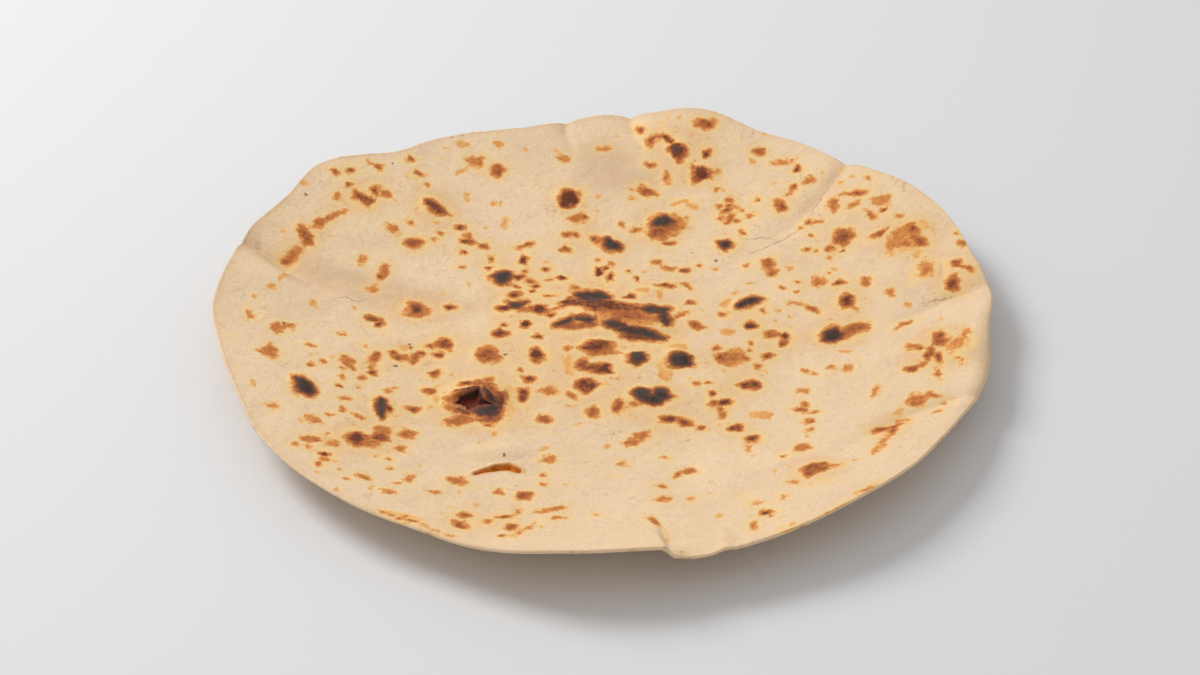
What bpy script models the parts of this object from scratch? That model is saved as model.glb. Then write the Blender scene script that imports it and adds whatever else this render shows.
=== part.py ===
"""A cooked chapati at rest, as one closed solid.

The bread is one thin round sheet. Its middle lies flat, and its rim stands up, because it
cooled in a shallow dish shape. Soft creases run in from the rim, one stretch of the front
edge is lifted and ends in a small pleat, and the top has raised blisters, one of them burst,
and a short tear.

Lengths are in millimetres and angles in degrees, counted from +X towards +Y. MM turns the
lengths into Blender's metres when the mesh is placed. +Z is up, and the origin is at the
bottom, in the middle of the bread's bounding box.
"""

import math

import bmesh
import bpy
import numpy as np
from mathutils import Vector, noise

MM = 0.001

# Sheet
EDGE_RADIUS = 122.0
FLAT_RADIUS = 48.0
RIM_HEIGHT = 13.5
DISH_POWER = 1.7
THICKNESS_MIDDLE = 2.2
THICKNESS_EDGE = 1.5
EDGE_ROUNDING = 0.45

# Bulges of the outline: angle, half width in degrees, and how far they reach out
EDGE_BULGES = {
    "right": (352.0, 12.0, 3.5),
    "right shoulder": (8.0, 6.0, 3.6),
    "beside the right fold": (14.5, 9.0, 1.5),
    "upper right": (30.0, 19.0, 9.5),
    "beside the upper right": (58.0, 7.0, 4.5),
    "far tongue": (73.5, 10.0, 6.8),
    "far middle": (89.0, 6.0, 2.2),
    "far left": (103.0, 10.0, -3.0),
    "upper left notch": (126.0, 4.0, -1.8),
    "upper left": (138.5, 8.0, 8.0),
    "left above the fold": (158.0, 11.0, 5.4),
    "left": (177.0, 8.0, 3.4),
    "lower left": (200.0, 9.0, -1.4),
    "front left": (243.0, 6.0, -0.9),
    "front lip": (263.0, 10.5, 2.8),
    "beside the pleat": (284.0, 5.0, 0.8),
}

# Stretches of rim that stand higher: angle, half width in degrees, and extra height
RIM_LIFTS = {
    "upper right": (36.0, 14.0, 3.0),
    "far tongue": (74.0, 8.0, 3.0),
    "upper left": (138.0, 10.0, 2.0),
    "lower right": (310.0, 12.0, 2.2),
}

# The lifted stretch of the front edge, which ends at the pleat
LIP_START_X = -46.0
LIP_FULL_X = -8.0
PLEAT_FOOT = (20.5, -116.0)
PLEAT_LEAN = 0.14
PLEAT_RUN = 1.4
LIP_ROOT_Y = -86.0
LIP_EDGE_Y = -122.0
LIP_HEIGHT = 4.6
CURL_CENTRE = (22.0, -117.5)
CURL_RADIUS = 4.0
CURL_HEIGHT = 1.7

# The right edge rolls down a little over its last few millimetres
ROLL_ANGLE = 353.0
ROLL_HALF_WIDTH = 15.0
ROLL_DEPTH = 2.6
ROLL_REACH = 5.0

# Creases: the points of each run inwards, its depth at each point, and how wide its left
# and right flanks are, looking along the run
CREASES = {
    "left fold": (
        [(-128, 42), (-114, 41), (-105, 35), (-98, 28), (-87, 20)],
        [0.9, 3.6, 5.0, 2.4, 0.0],
        9.0,
        5.0,
    ),
    "left hollow": (
        [(-104, 34), (-90, 32), (-72, 30), (-54, 30)],
        [0.0, 1.8, 1.2, 0.0],
        16.0,
        11.0,
    ),
    "far notch": ([(9, 128), (11, 117), (15, 104)], [2.0, 1.7, 0.0], 3.0, 5.0),
    "far left": ([(-13, 124), (-13, 115), (-9, 103)], [1.5, 1.2, 0.0], 4.0, 3.0),
    "upper right": (
        [(91, 103), (83, 91), (73, 75.5), (64, 64.5), (50, 56)],
        [1.1, 1.8, 1.3, 0.9, 0.0],
        3.5,
        6.0,
    ),
    "right fold": (
        [(130, 24.5), (119, 22), (109, 18), (96, 11)],
        [0.8, 2.2, 2.0, 0.0],
        10.0,
        5.0,
    ),
    "right wrinkle": ([(111, 44), (113, 34), (114, 24)], [0.0, 1.0, 0.0], 2.5, 3.5),
    "lower right flap": (
        [(128, -34), (112, -36), (95, -43), (66, -66)],
        [1.8, 2.4, 2.2, 0.0],
        12.0,
        5.0,
    ),
}

# Low ridges: the points of each, its height at each point, and the width of its flanks
RIDGES = {
    "beside the left fold": ([(-122, 22), (-108, 20), (-88, 12)], [1.6, 1.6, 0.0], 9.0),
    "front middle": ([(28, -64), (42, -72), (56, -78)], [0.0, 1.1, 0.0], 6.0),
    "beside the pleat": ([(38, -118), (38, -108), (37, -98)], [1.0, 0.7, 0.0], 2.2),
    "right lobe": ([(122, 32), (116, 34), (106, 38)], [1.4, 1.2, 0.0], 6.0),
    "far middle": ([(-4, 104), (4, 92), (12, 80)], [0.0, 0.8, 0.0], 6.0),
}

# Blisters: centre, length, width, turn in degrees, height
BLISTERS = [
    ((5, 18), 46, 26, -16, 1.9),
    ((-39, -28), 26, 24, 0, 2.2),
    ((-32, -57), 24, 12, 8, 1.4),
    ((-33, 40), 11, 11, 0, 0.9),
    ((3, 60), 14, 11, -35, 1.0),
    ((-13, 83), 10, 13, 0, 0.9),
    ((21, 71), 14, 13, 0, 1.0),
    ((27, 107), 10, 11, 0, 0.8),
    ((35, 96), 10, 10, 0, 0.8),
    ((-57, 73), 12, 9, -50, 0.9),
    ((47, 27), 12, 9, 35, 0.9),
    ((41, 59), 9, 8, 0, 0.7),
    ((25, -4), 12, 13, 0, 1.0),
    ((11, -4), 9, 9, 0, 0.7),
    ((16, -24), 17, 13, 0, 1.1),
    ((-1, 2), 14, 10, 0, 0.9),
    ((-93, -31), 10, 16, 25, 0.9),
    ((-68, -37), 9, 15, 0, 0.8),
    ((74, 8), 12, 9, 0, 0.9),
    ((-62, 20), 10, 10, 0, 0.8),
    ((-37, -5), 13, 13, 0, 0.8),
    ((80, 26), 9, 9, 0, 0.6),
    ((65, -71), 13, 11, 0, 0.7),
]

# The burst blister: a ragged pit, given by its reach from the middle at some angles, and a
# flap of skin that curls up behind it
BURST_CENTRE = (-40.3, -31.3)
BURST_REACH = {12: 3.4, 61: 4.6, 105: 2.4, 140: 2.6, 193: 4.5, 235: 2.8, 258: 3.5, 300: 2.6, 345: 5.0}
BURST_DEPTH = 1.9
FLAP_HEIGHT = 1.7
FLAP_AWAY = 2.0
FLAP_WIDTH = 1.8

# The short tear: a curved slot with its far lip standing a little proud
TEAR_PATH = [(-37.3, -70.2), (-34, -67.8), (-30.5, -65.8), (-27, -65.2), (-24.3, -66.8)]
TEAR_HALF_WIDTH = 1.6
TEAR_OPENING = [0.3, 0.6, 0.9, 1.0, 0.7]
TEAR_DEPTH = 1.5

# Broad waves of the sheet
WAVE_HEIGHT = 1.5
WAVE_LENGTH = 46.0
WAVE_SEED_POINT = Vector((3.7, 1.9, 0.4))

# Mesh: rings of triangles from the middle to the edge, and finer patches round the tears
RINGS = 26
FINE_PATCHES = [((-40, -31), 11.0, 2), ((-31, -66), 10.0, 2), ((20, -112), 12.0, 1)]

CRUMB_COLOUR = (0.82, 0.59, 0.35, 1.0)
CRUMB_ROUGHNESS = 0.82


def bump(distance, width):
    """A smooth hill that is 1 in the middle and fades out past its width."""
    return np.exp(-((distance / width) ** 2))


def smooth_step(value, start, end):
    """0 before start, 1 after end, and a smooth change between them."""
    t = np.clip((value - start) / (end - start), 0.0, 1.0)
    return t * t * (3.0 - 2.0 * t)


def turn_between(angle, centre):
    """The angle from a direction to each angle, from -180 to 180 degrees."""
    return (angle - centre + 180.0) % 360.0 - 180.0


def edge_radius(angle):
    """How far out the rim is at each angle."""
    radius = np.full_like(angle, EDGE_RADIUS)
    for centre, half_width, reach in EDGE_BULGES.values():
        radius += reach * bump(turn_between(angle, centre), half_width)
    return radius


def rim_height(angle):
    """How high the rim stands at each angle."""
    height = np.full_like(angle, RIM_HEIGHT)
    for centre, half_width, extra in RIM_LIFTS.values():
        height += extra * bump(turn_between(angle, centre), half_width)
    return height


def nearest_on_path(x, y, points, values):
    """Signed distance to a broken line, plus on its left, and the value at the nearest point."""
    nearest = np.full_like(x, 1e9)
    signed = np.zeros_like(x)
    value = np.zeros_like(x)
    for (ax, ay), (bx, by), start, end in zip(points, points[1:], values, values[1:]):
        run_x, run_y = bx - ax, by - ay
        along = ((x - ax) * run_x + (y - ay) * run_y) / (run_x**2 + run_y**2)
        along = np.clip(along, 0.0, 1.0)
        off_x, off_y = x - ax - along * run_x, y - ay - along * run_y
        distance = np.hypot(off_x, off_y)
        closer = distance < nearest
        nearest = np.where(closer, distance, nearest)
        side = np.where(run_x * off_y - run_y * off_x >= 0.0, 1.0, -1.0)
        signed = np.where(closer, side * distance, signed)
        value = np.where(closer, start + along * (end - start), value)
    return signed, value


def crease_depth(x, y, points, depths, left, right):
    """A valley with a soft bottom and flanks of two widths."""
    signed, depth = nearest_on_path(x, y, points, depths)
    width = np.where(signed >= 0.0, left, right)
    rounded = np.sqrt(signed**2 + 0.8**2) - 0.8
    return depth * np.exp(-rounded / width * 1.6)


def lip_height(x, y):
    """The lifted stretch of the front edge, with the step down at the pleat."""
    along = smooth_step(x, LIP_START_X, LIP_FULL_X)
    past_pleat = x - PLEAT_FOOT[0] + PLEAT_LEAN * (y - PLEAT_FOOT[1])
    step = 1.0 - smooth_step(past_pleat, -PLEAT_RUN, PLEAT_RUN)
    out = np.clip((y - LIP_ROOT_Y) / (LIP_EDGE_Y - LIP_ROOT_Y), 0.0, 1.15) ** 1.6
    curl = bump(np.hypot(x - CURL_CENTRE[0], y - CURL_CENTRE[1]), CURL_RADIUS)
    return LIP_HEIGHT * along * step * out + CURL_HEIGHT * curl * (1.0 - step)


def waves(x, y):
    """Broad uneven waves, from smooth noise."""
    height = [
        noise.noise(Vector((px, py, 0.0)) / WAVE_LENGTH + WAVE_SEED_POINT)
        for px, py in zip(x, y)
    ]
    return WAVE_HEIGHT * np.array(height)


def sheet_height(x, y):
    """The underside of the bread: flat in the middle, rising to the rim, with its creases."""
    angle = np.degrees(np.arctan2(y, x)) % 360.0
    radius = np.hypot(x, y)
    edge = edge_radius(angle)
    out = np.clip((radius - FLAT_RADIUS) / (edge - FLAT_RADIUS), 0.0, 1.0)
    height = rim_height(angle) * out**DISH_POWER
    height += lip_height(x, y) + waves(x, y) * out
    for points, depths, left, right in CREASES.values():
        height -= crease_depth(x, y, points, depths, left, right)
    for points, heights, width in RIDGES.values():
        signed, ridge = nearest_on_path(x, y, points, heights)
        height += ridge * bump(signed, width)
    rolled = bump(turn_between(angle, ROLL_ANGLE), ROLL_HALF_WIDTH)
    height -= ROLL_DEPTH * rolled * np.clip(1.0 - (edge - radius) / ROLL_REACH, 0.0, 1.0) ** 2
    return np.maximum(height, 0.0)


def blister_height(x, y):
    """The raised blisters of the top."""
    height = np.zeros_like(x)
    for (cx, cy), length, width, turn, top in BLISTERS:
        cosine, sine = math.cos(math.radians(turn)), math.sin(math.radians(turn))
        along = ((x - cx) * cosine + (y - cy) * sine) / (length / 2)
        across = ((y - cy) * cosine - (x - cx) * sine) / (width / 2)
        height += top * np.clip(1.0 - along**2 - across**2, 0.0, 1.0) ** 1.5
    return height


def burst_relief(x, y):
    """The pit of the burst blister, with ragged points round it and the flap behind it."""
    off_x, off_y = x - BURST_CENTRE[0], y - BURST_CENTRE[1]
    around = np.degrees(np.arctan2(off_y, off_x)) % 360.0
    reach = np.interp(around, list(BURST_REACH), list(BURST_REACH.values()), period=360.0)
    past = np.hypot(off_x, off_y) - reach
    behind = smooth_step(off_y, -0.5, 2.0)
    flap = FLAP_HEIGHT * bump(past - FLAP_AWAY, FLAP_WIDTH) * behind
    return flap - BURST_DEPTH * (1.0 - smooth_step(past, -0.7, 0.7))


def tear_depth(x, y):
    """The slot of the short tear, narrow at its ends."""
    signed, open_width = nearest_on_path(x, y, TEAR_PATH, TEAR_OPENING)
    half = TEAR_HALF_WIDTH * open_width
    return TEAR_DEPTH * (1.0 - smooth_step(np.abs(signed), half * 0.4, half + 0.5))


def top_height(x, y):
    """The top of the bread."""
    angle = np.degrees(np.arctan2(y, x)) % 360.0
    out = np.hypot(x, y) / edge_radius(angle)
    thickness = THICKNESS_MIDDLE + (THICKNESS_EDGE - THICKNESS_MIDDLE) * out**3
    relief = blister_height(x, y) + burst_relief(x, y) - tear_depth(x, y)
    return sheet_height(x, y) + thickness + relief


def plan_middle():
    """The middle of the outline's bounding box."""
    angle = np.arange(0.0, 360.0, 0.5)
    edge = edge_radius(angle)
    x, y = edge * np.cos(np.radians(angle)), edge * np.sin(np.radians(angle))
    return (x.min() + x.max()) / 2, (y.min() + y.max()) / 2


def flat_disc():
    """A flat disc of even triangles, one unit in radius, from a six-sided fan."""
    mesh = bmesh.new()
    bmesh.ops.create_circle(mesh, cap_ends=True, cap_tris=True, segments=6, radius=1.0)
    bmesh.ops.subdivide_edges(mesh, edges=mesh.edges, cuts=RINGS - 1, use_grid_fill=True)
    for vertex in mesh.verts:
        angle = math.atan2(vertex.co.y, vertex.co.x)
        inside_sector = (angle + math.pi / 6) % (math.pi / 3) - math.pi / 6
        vertex.co *= math.cos(inside_sector) / math.cos(math.pi / 6)
    return mesh


def spread_to_outline(mesh):
    """Stretches the unit disc out to the bread's own outline."""
    for vertex in mesh.verts:
        angle = np.degrees(np.arctan2([vertex.co.y], [vertex.co.x])) % 360.0
        vertex.co *= edge_radius(angle)[0]


def refine_patches(mesh):
    """Splits the triangles round the tears and the pleat."""
    for (cx, cy), radius, times in FINE_PATCHES:
        centre = Vector((cx, cy, 0.0))
        for step in range(times):
            reach = radius + 3.0 * (times - 1 - step)
            edges = [
                edge
                for edge in mesh.edges
                if all((vertex.co - centre).length < reach for vertex in edge.verts)
            ]
            bmesh.ops.subdivide_edges(mesh, edges=edges, cuts=1)
            bmesh.ops.triangulate(mesh, faces=mesh.faces)


def give_thickness(mesh):
    """Copies the sheet upwards, shapes both faces and rounds the rim between them."""
    rim = {vertex for vertex in mesh.verts if vertex.is_boundary}
    grown = bmesh.ops.extrude_face_region(mesh, geom=mesh.faces)["geom"]
    top = {item for item in grown if isinstance(item, bmesh.types.BMVert)}
    bottom = [vertex for vertex in mesh.verts if vertex not in top]
    top = list(top)
    for vertices, height_of in ((bottom, sheet_height), (top, top_height)):
        x = np.array([vertex.co.x for vertex in vertices])
        y = np.array([vertex.co.y for vertex in vertices])
        for vertex, height in zip(vertices, height_of(x, y)):
            vertex.co.z = height
    for vertex in mesh.verts:
        on_rim = vertex in rim or vertex.is_boundary
        if on_rim:
            vertex.co.xy *= 1.0 - EDGE_ROUNDING / EDGE_RADIUS
    bmesh.ops.recalc_face_normals(mesh, faces=mesh.faces)


def bread_material():
    """Matt, floury flat bread."""
    material = bpy.data.materials.new("chapati_crumb")
    material.use_nodes = True
    shader = material.node_tree.nodes["Principled BSDF"]
    shader.inputs["Base Color"].default_value = CRUMB_COLOUR
    shader.inputs["Roughness"].default_value = CRUMB_ROUGHNESS
    shader.inputs["Metallic"].default_value = 0.0
    return material


def build_chapati(collection):
    """The whole bread, centred over the origin."""
    mesh = flat_disc()
    spread_to_outline(mesh)
    refine_patches(mesh)
    give_thickness(mesh)
    middle_x, middle_y = plan_middle()
    bmesh.ops.translate(mesh, verts=mesh.verts, vec=(-middle_x, -middle_y, 0.0))
    bmesh.ops.scale(mesh, verts=mesh.verts, vec=(MM, MM, MM))
    data = bpy.data.meshes.new("chapati")
    mesh.to_mesh(data)
    mesh.free()
    data.shade_smooth()
    data.materials.append(bread_material())
    chapati = bpy.data.objects.new("chapati", data)
    collection.objects.link(chapati)
    return chapati


def clear_scene():
    """Removes the start-up scene's objects."""
    for item in list(bpy.data.objects):
        bpy.data.objects.remove(item, do_unlink=True)


clear_scene()
bread = bpy.data.collections.new("chapati")
bpy.context.scene.collection.children.link(bread)
build_chapati(bread)
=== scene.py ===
"""A cooked chapati on a plain pale floor, seen as in the photo.

The bread follows the frame's node chapati. Its form is worked out in millimetres from named
sizes, then moved over the frame's origin and turned into metres.
"""

import math

import bmesh
import bpy
import numpy as np
from mathutils import Matrix, Vector, noise


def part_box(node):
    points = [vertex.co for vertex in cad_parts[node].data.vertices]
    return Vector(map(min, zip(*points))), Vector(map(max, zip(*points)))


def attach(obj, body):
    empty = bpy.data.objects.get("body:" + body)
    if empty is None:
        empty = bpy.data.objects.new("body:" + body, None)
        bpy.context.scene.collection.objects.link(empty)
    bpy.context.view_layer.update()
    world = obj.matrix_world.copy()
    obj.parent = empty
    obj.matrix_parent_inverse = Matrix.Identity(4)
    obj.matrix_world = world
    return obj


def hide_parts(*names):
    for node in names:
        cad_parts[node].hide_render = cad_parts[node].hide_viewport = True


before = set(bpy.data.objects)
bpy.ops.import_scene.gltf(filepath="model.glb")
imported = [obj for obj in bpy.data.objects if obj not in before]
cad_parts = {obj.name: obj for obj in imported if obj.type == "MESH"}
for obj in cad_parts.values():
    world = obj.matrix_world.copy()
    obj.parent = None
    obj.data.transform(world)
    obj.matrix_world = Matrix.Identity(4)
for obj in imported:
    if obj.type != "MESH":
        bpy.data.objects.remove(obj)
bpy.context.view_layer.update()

# The sheet of bread. A round of wheat dough rolled thin, baked on a dry griddle and cooled in
# a shallow dish shape, so that its middle lies flat and its rim stands up with soft creases.
MM = 0.001
EDGE_RADIUS = 122.0
FLAT_RADIUS = 48.0
RIM_HEIGHT = 13.5
DISH_POWER = 1.7
THICKNESS_MIDDLE = 2.2
THICKNESS_EDGE = 1.5

# Bulges of the outline: angle, half width in degrees, and how far they reach out
EDGE_BULGES = {
    "right": (352.0, 12.0, 3.5),
    "right shoulder": (8.0, 6.0, 3.6),
    "beside the right fold": (14.5, 9.0, 1.5),
    "upper right": (30.0, 19.0, 9.5),
    "beside the upper right": (58.0, 7.0, 4.5),
    "far tongue": (73.5, 10.0, 6.8),
    "far middle": (89.0, 6.0, 2.2),
    "far left": (103.0, 10.0, -3.0),
    "upper left notch": (126.0, 4.0, -1.8),
    "upper left": (138.5, 8.0, 8.0),
    "left above the fold": (158.0, 11.0, 5.4),
    "left": (177.0, 8.0, 3.4),
    "lower left": (200.0, 9.0, -1.4),
    "front left": (243.0, 6.0, -0.9),
    "front lip": (263.0, 10.5, 2.8),
    "beside the pleat": (284.0, 5.0, 0.8),
}

# Stretches of rim that stand higher: angle, half width in degrees, and extra height
RIM_LIFTS = {
    "upper right": (36.0, 14.0, 3.0),
    "far tongue": (74.0, 8.0, 3.0),
    "upper left": (138.0, 10.0, 2.0),
    "lower right": (310.0, 12.0, 2.2),
}

# The lifted stretch of the front edge, which ends at the pleat
LIP_START_X = -46.0
LIP_FULL_X = -8.0
PLEAT_FOOT = (20.5, -116.0)
PLEAT_LEAN = 0.14
PLEAT_RUN = 1.0
LIP_ROOT_Y = -86.0
LIP_EDGE_Y = -122.0
LIP_HEIGHT = 4.6
LIP_POWER = 1.6
LIP_OVERHANG = 1.15
CURL_CENTRE = (22.0, -117.5)
CURL_RADIUS = 4.0
CURL_HEIGHT = 1.7

# The right edge rolls down a little over its last few millimetres
ROLL_ANGLE = 353.0
ROLL_HALF_WIDTH = 15.0
ROLL_DEPTH = 2.6
ROLL_REACH = 5.0

# Creases: the points of each run inwards, its depth at each point, and how wide its left
# and right flanks are, looking along the run; their bottoms are rounded
CREASE_ROUNDING = 0.8
CREASE_STEEPNESS = 1.6
CREASES = {
    "left fold": (
        [(-128, 42), (-114, 41), (-105, 35), (-98, 28), (-87, 20)],
        [0.9, 3.6, 5.0, 2.4, 0.0],
        9.0,
        5.0,
    ),
    "left hollow": (
        [(-104, 34), (-90, 32), (-72, 30), (-54, 30)],
        [0.0, 1.8, 1.2, 0.0],
        16.0,
        11.0,
    ),
    "far notch": ([(9, 128), (11, 117), (15, 104)], [2.0, 1.7, 0.0], 3.0, 5.0),
    "far left": ([(-13, 124), (-13, 115), (-9, 103)], [1.5, 1.2, 0.0], 4.0, 3.0),
    "upper right": (
        [(91, 103), (83, 91), (73, 75.5), (64, 64.5), (50, 56)],
        [1.1, 1.8, 1.3, 0.9, 0.0],
        3.5,
        6.0,
    ),
    "right fold": (
        [(130, 24.5), (119, 22), (109, 18), (96, 11)],
        [0.8, 2.2, 2.0, 0.0],
        10.0,
        5.0,
    ),
    "right wrinkle": ([(111, 44), (113, 34), (114, 24)], [0.0, 1.0, 0.0], 2.5, 3.5),
    "lower right flap": (
        [(128, -34), (112, -36), (95, -43), (66, -66)],
        [1.8, 2.4, 2.2, 0.0],
        12.0,
        5.0,
    ),
}

# Low ridges: the points of each, its height at each point, and the width of its flanks
RIDGES = {
    "beside the left fold": ([(-122, 22), (-108, 20), (-88, 12)], [1.6, 1.6, 0.0], 9.0),
    "front middle": ([(28, -64), (42, -72), (56, -78)], [0.0, 1.1, 0.0], 6.0),
    "beside the pleat": ([(38, -118), (38, -108), (37, -98)], [1.0, 0.7, 0.0], 2.2),
    "right lobe": ([(122, 32), (116, 34), (106, 38)], [1.4, 1.2, 0.0], 6.0),
    "far middle": ([(-4, 104), (4, 92), (12, 80)], [0.0, 0.8, 0.0], 6.0),
}

# Blisters: centre, length, width, turn in degrees, height
BLISTER_POWER = 1.5
BLISTERS = [
    ((5, 18), 46, 26, -16, 1.9),
    ((-39, -28), 26, 24, 0, 2.2),
    ((-32, -57), 24, 12, 8, 1.4),
    ((-33, 40), 11, 11, 0, 0.9),
    ((3, 60), 14, 11, -35, 1.0),
    ((-13, 83), 10, 13, 0, 0.9),
    ((21, 71), 14, 13, 0, 1.0),
    ((27, 107), 10, 11, 0, 0.8),
    ((35, 96), 10, 10, 0, 0.8),
    ((-57, 73), 12, 9, -50, 0.9),
    ((47, 27), 12, 9, 35, 0.9),
    ((41, 59), 9, 8, 0, 0.7),
    ((25, -4), 12, 13, 0, 1.0),
    ((11, -4), 9, 9, 0, 0.7),
    ((16, -24), 17, 13, 0, 1.1),
    ((-1, 2), 14, 10, 0, 0.9),
    ((-93, -31), 10, 16, 25, 0.9),
    ((-68, -37), 9, 15, 0, 0.8),
    ((74, 8), 12, 9, 0, 0.9),
    ((-62, 20), 10, 10, 0, 0.8),
    ((-37, -5), 13, 13, 0, 0.8),
    ((80, 26), 9, 9, 0, 0.6),
    ((65, -71), 13, 11, 0, 0.7),
]

# The burst blister: a ragged pit, given by its reach from the middle at some angles, with a
# thin crack at 352 degrees, and a flap of skin that curls up behind it. The tatters of its
# edge are waves: how many go round, and the angle by which each is turned
BURST_CENTRE = (-40.3, -31.3)
BURST_REACH = {
    12: 3.2, 38: 3.4, 61: 4.6, 78: 3.0, 105: 2.1, 140: 2.2, 170: 3.2, 193: 4.4, 210: 3.2,
    235: 2.6, 258: 3.4, 285: 2.6, 320: 2.4, 344: 4.4, 352: 7.6, 359: 4.2,
}
TATTER_REACH = 0.14
TATTER_WAVES = {11.0: 0.0, 17.0: 40.0}
BURST_DEPTH = 1.9
BURST_WALL = (-1.4, 0.4)
FLAP_HEIGHT = 1.7
FLAP_AWAY = 2.0
FLAP_WIDTH = 1.8
FLAP_SIDES = (-0.5, 2.0)

# Hairline cracks of the dried skin, as broken lines that fade out at both ends
HAIRLINES = [
    [
        (79, 86), (75.6, 79.3), (71.9, 71.9), (69.7, 67.5),
        (66.4, 62.7), (61.3, 59.4), (56.5, 56.4), (46, 51),
    ],
    [(71.9, 71.9), (75, 68), (76, 63)],
    [(61.3, 59.4), (56, 61.5), (50, 60.5), (46, 63)],
    [(-93, 75), (-89.9, 71.2), (-87.4, 69.3), (-84.5, 65)],
    [(112.4, 41), (112.7, 34.2), (111.9, 27)],
    [(-105, 34.4), (-100.6, 31.6), (-96, 27)],
    [(104, 19.6), (111.5, 20.8), (117.1, 21.7), (122, 22.6)],
    [(-70, 20), (-63, 23), (-58, 19), (-50, 22), (-44, 18)],
    [(-90, 18), (-84, 22), (-80, 20), (-75, 24)],
]
HAIRLINE_REACH = 3.0
HAIRLINE_FADE = (1.5, 2.8)

# The short tear: a curved slot with its far lip standing a little proud
TEAR_PATH = [(-37.3, -70.2), (-34, -67.8), (-30.5, -65.8), (-27, -65.2), (-24.3, -66.8)]
TEAR_HALF_WIDTH = 1.6
TEAR_OPENING = [0.3, 0.6, 0.9, 1.0, 0.7]
TEAR_DEPTH = 1.5
TEAR_WALL = (-0.9, 0.2)
TEAR_LIP_HEIGHT = 0.5
TEAR_LIP_AWAY = 0.6
TEAR_LIP_WIDTH = 0.7

# Broad waves of the sheet
WAVE_HEIGHT = 1.5
WAVE_LENGTH = 46.0
WAVE_SEED_POINT = Vector((3.7, 1.9, 0.4))

# Small relief of the skin: the length and the height of each size of wrinkle
WRINKLES = {"puckers": (11.0, 0.34), "skin": (3.6, 0.13), "grain": (1.5, 0.05)}
WRINKLE_SEED_POINT = Vector((8.1, 2.3, 0.0))
WRINKLE_SEED_STEP = Vector((0.0, 0.0, 3.0))

# The mesh: rings of triangles of the underside, of which the top has twice as many, how far in
# the four levels of the rounded rim stand from the underside up, and the places that are split
# finer, each with its centre, its reach, and how many times it is split
RINGS = 71
FAN_SIDES = 6
RIM_INSETS = (0.62, 0.16, 0.16, 0.5)
RIM_TOLERANCE = 0.01
FINE_PATCHES = [((-40, -31), 10.5, 2), ((-31, -66), 8.5, 2), ((6, 18), 22.0, 1)]
FINE_MARGIN = 3.0
TOP_SIDES = (0.4, 0.9)


def bump(distance, width):
    """A smooth hill that is 1 in the middle and fades out past its width."""
    return np.exp(-((distance / width) ** 2))


def smooth_step(value, start, end):
    """0 before start, 1 after end, and a smooth change between them."""
    t = np.clip((value - start) / (end - start), 0.0, 1.0)
    return t * t * (3.0 - 2.0 * t)


def direction(x, y):
    """The angle of each point round the middle, from 0 to 360 degrees."""
    return np.degrees(np.arctan2(y, x)) % 360.0


def turn_between(angle, centre):
    """The angle from a direction to each angle, from -180 to 180 degrees."""
    return (angle - centre + 180.0) % 360.0 - 180.0


def edge_radius(angle):
    """How far out the rim is at each angle."""
    radius = np.full_like(angle, EDGE_RADIUS)
    for centre, half_width, reach in EDGE_BULGES.values():
        radius += reach * bump(turn_between(angle, centre), half_width)
    return radius


def rim_height(angle):
    """How high the rim stands at each angle."""
    height = np.full_like(angle, RIM_HEIGHT)
    for centre, half_width, extra in RIM_LIFTS.values():
        height += extra * bump(turn_between(angle, centre), half_width)
    return height


def nearest_on_path(x, y, points, values):
    """Signed distance to a broken line, plus on its left, and the value at the nearest point."""
    nearest = np.full_like(x, 1e9)
    signed = np.zeros_like(x)
    value = np.zeros_like(x)
    for (ax, ay), (bx, by), start, end in zip(points, points[1:], values, values[1:]):
        run_x, run_y = bx - ax, by - ay
        along = ((x - ax) * run_x + (y - ay) * run_y) / (run_x**2 + run_y**2)
        along = np.clip(along, 0.0, 1.0)
        off_x, off_y = x - ax - along * run_x, y - ay - along * run_y
        distance = np.hypot(off_x, off_y)
        closer = distance < nearest
        nearest = np.where(closer, distance, nearest)
        side = np.where(run_x * off_y - run_y * off_x >= 0.0, 1.0, -1.0)
        signed = np.where(closer, side * distance, signed)
        value = np.where(closer, start + along * (end - start), value)
    return signed, value


def crease_depth(x, y, points, depths, left, right):
    """A valley with a soft bottom and flanks of two widths."""
    signed, depth = nearest_on_path(x, y, points, depths)
    width = np.where(signed >= 0.0, left, right)
    rounded = np.hypot(signed, CREASE_ROUNDING) - CREASE_ROUNDING
    return depth * np.exp(-rounded / width * CREASE_STEEPNESS)


def lip_height(x, y):
    """The lifted stretch of the front edge, with the step down at the pleat."""
    along = smooth_step(x, LIP_START_X, LIP_FULL_X)
    past_pleat = x - PLEAT_FOOT[0] + PLEAT_LEAN * (y - PLEAT_FOOT[1])
    step = 1.0 - smooth_step(past_pleat, -PLEAT_RUN, PLEAT_RUN)
    out = np.clip((y - LIP_ROOT_Y) / (LIP_EDGE_Y - LIP_ROOT_Y), 0.0, LIP_OVERHANG)
    curl = bump(np.hypot(x - CURL_CENTRE[0], y - CURL_CENTRE[1]), CURL_RADIUS)
    return LIP_HEIGHT * along * step * out**LIP_POWER + CURL_HEIGHT * curl * (1.0 - step)


def noise_at(x, y, length, seed_point):
    """Smooth noise over the plan, with hills about one length wide."""
    height = [
        noise.noise(Vector((px, py, 0.0)) / length + seed_point) for px, py in zip(x, y)
    ]
    return np.array(height)


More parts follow.
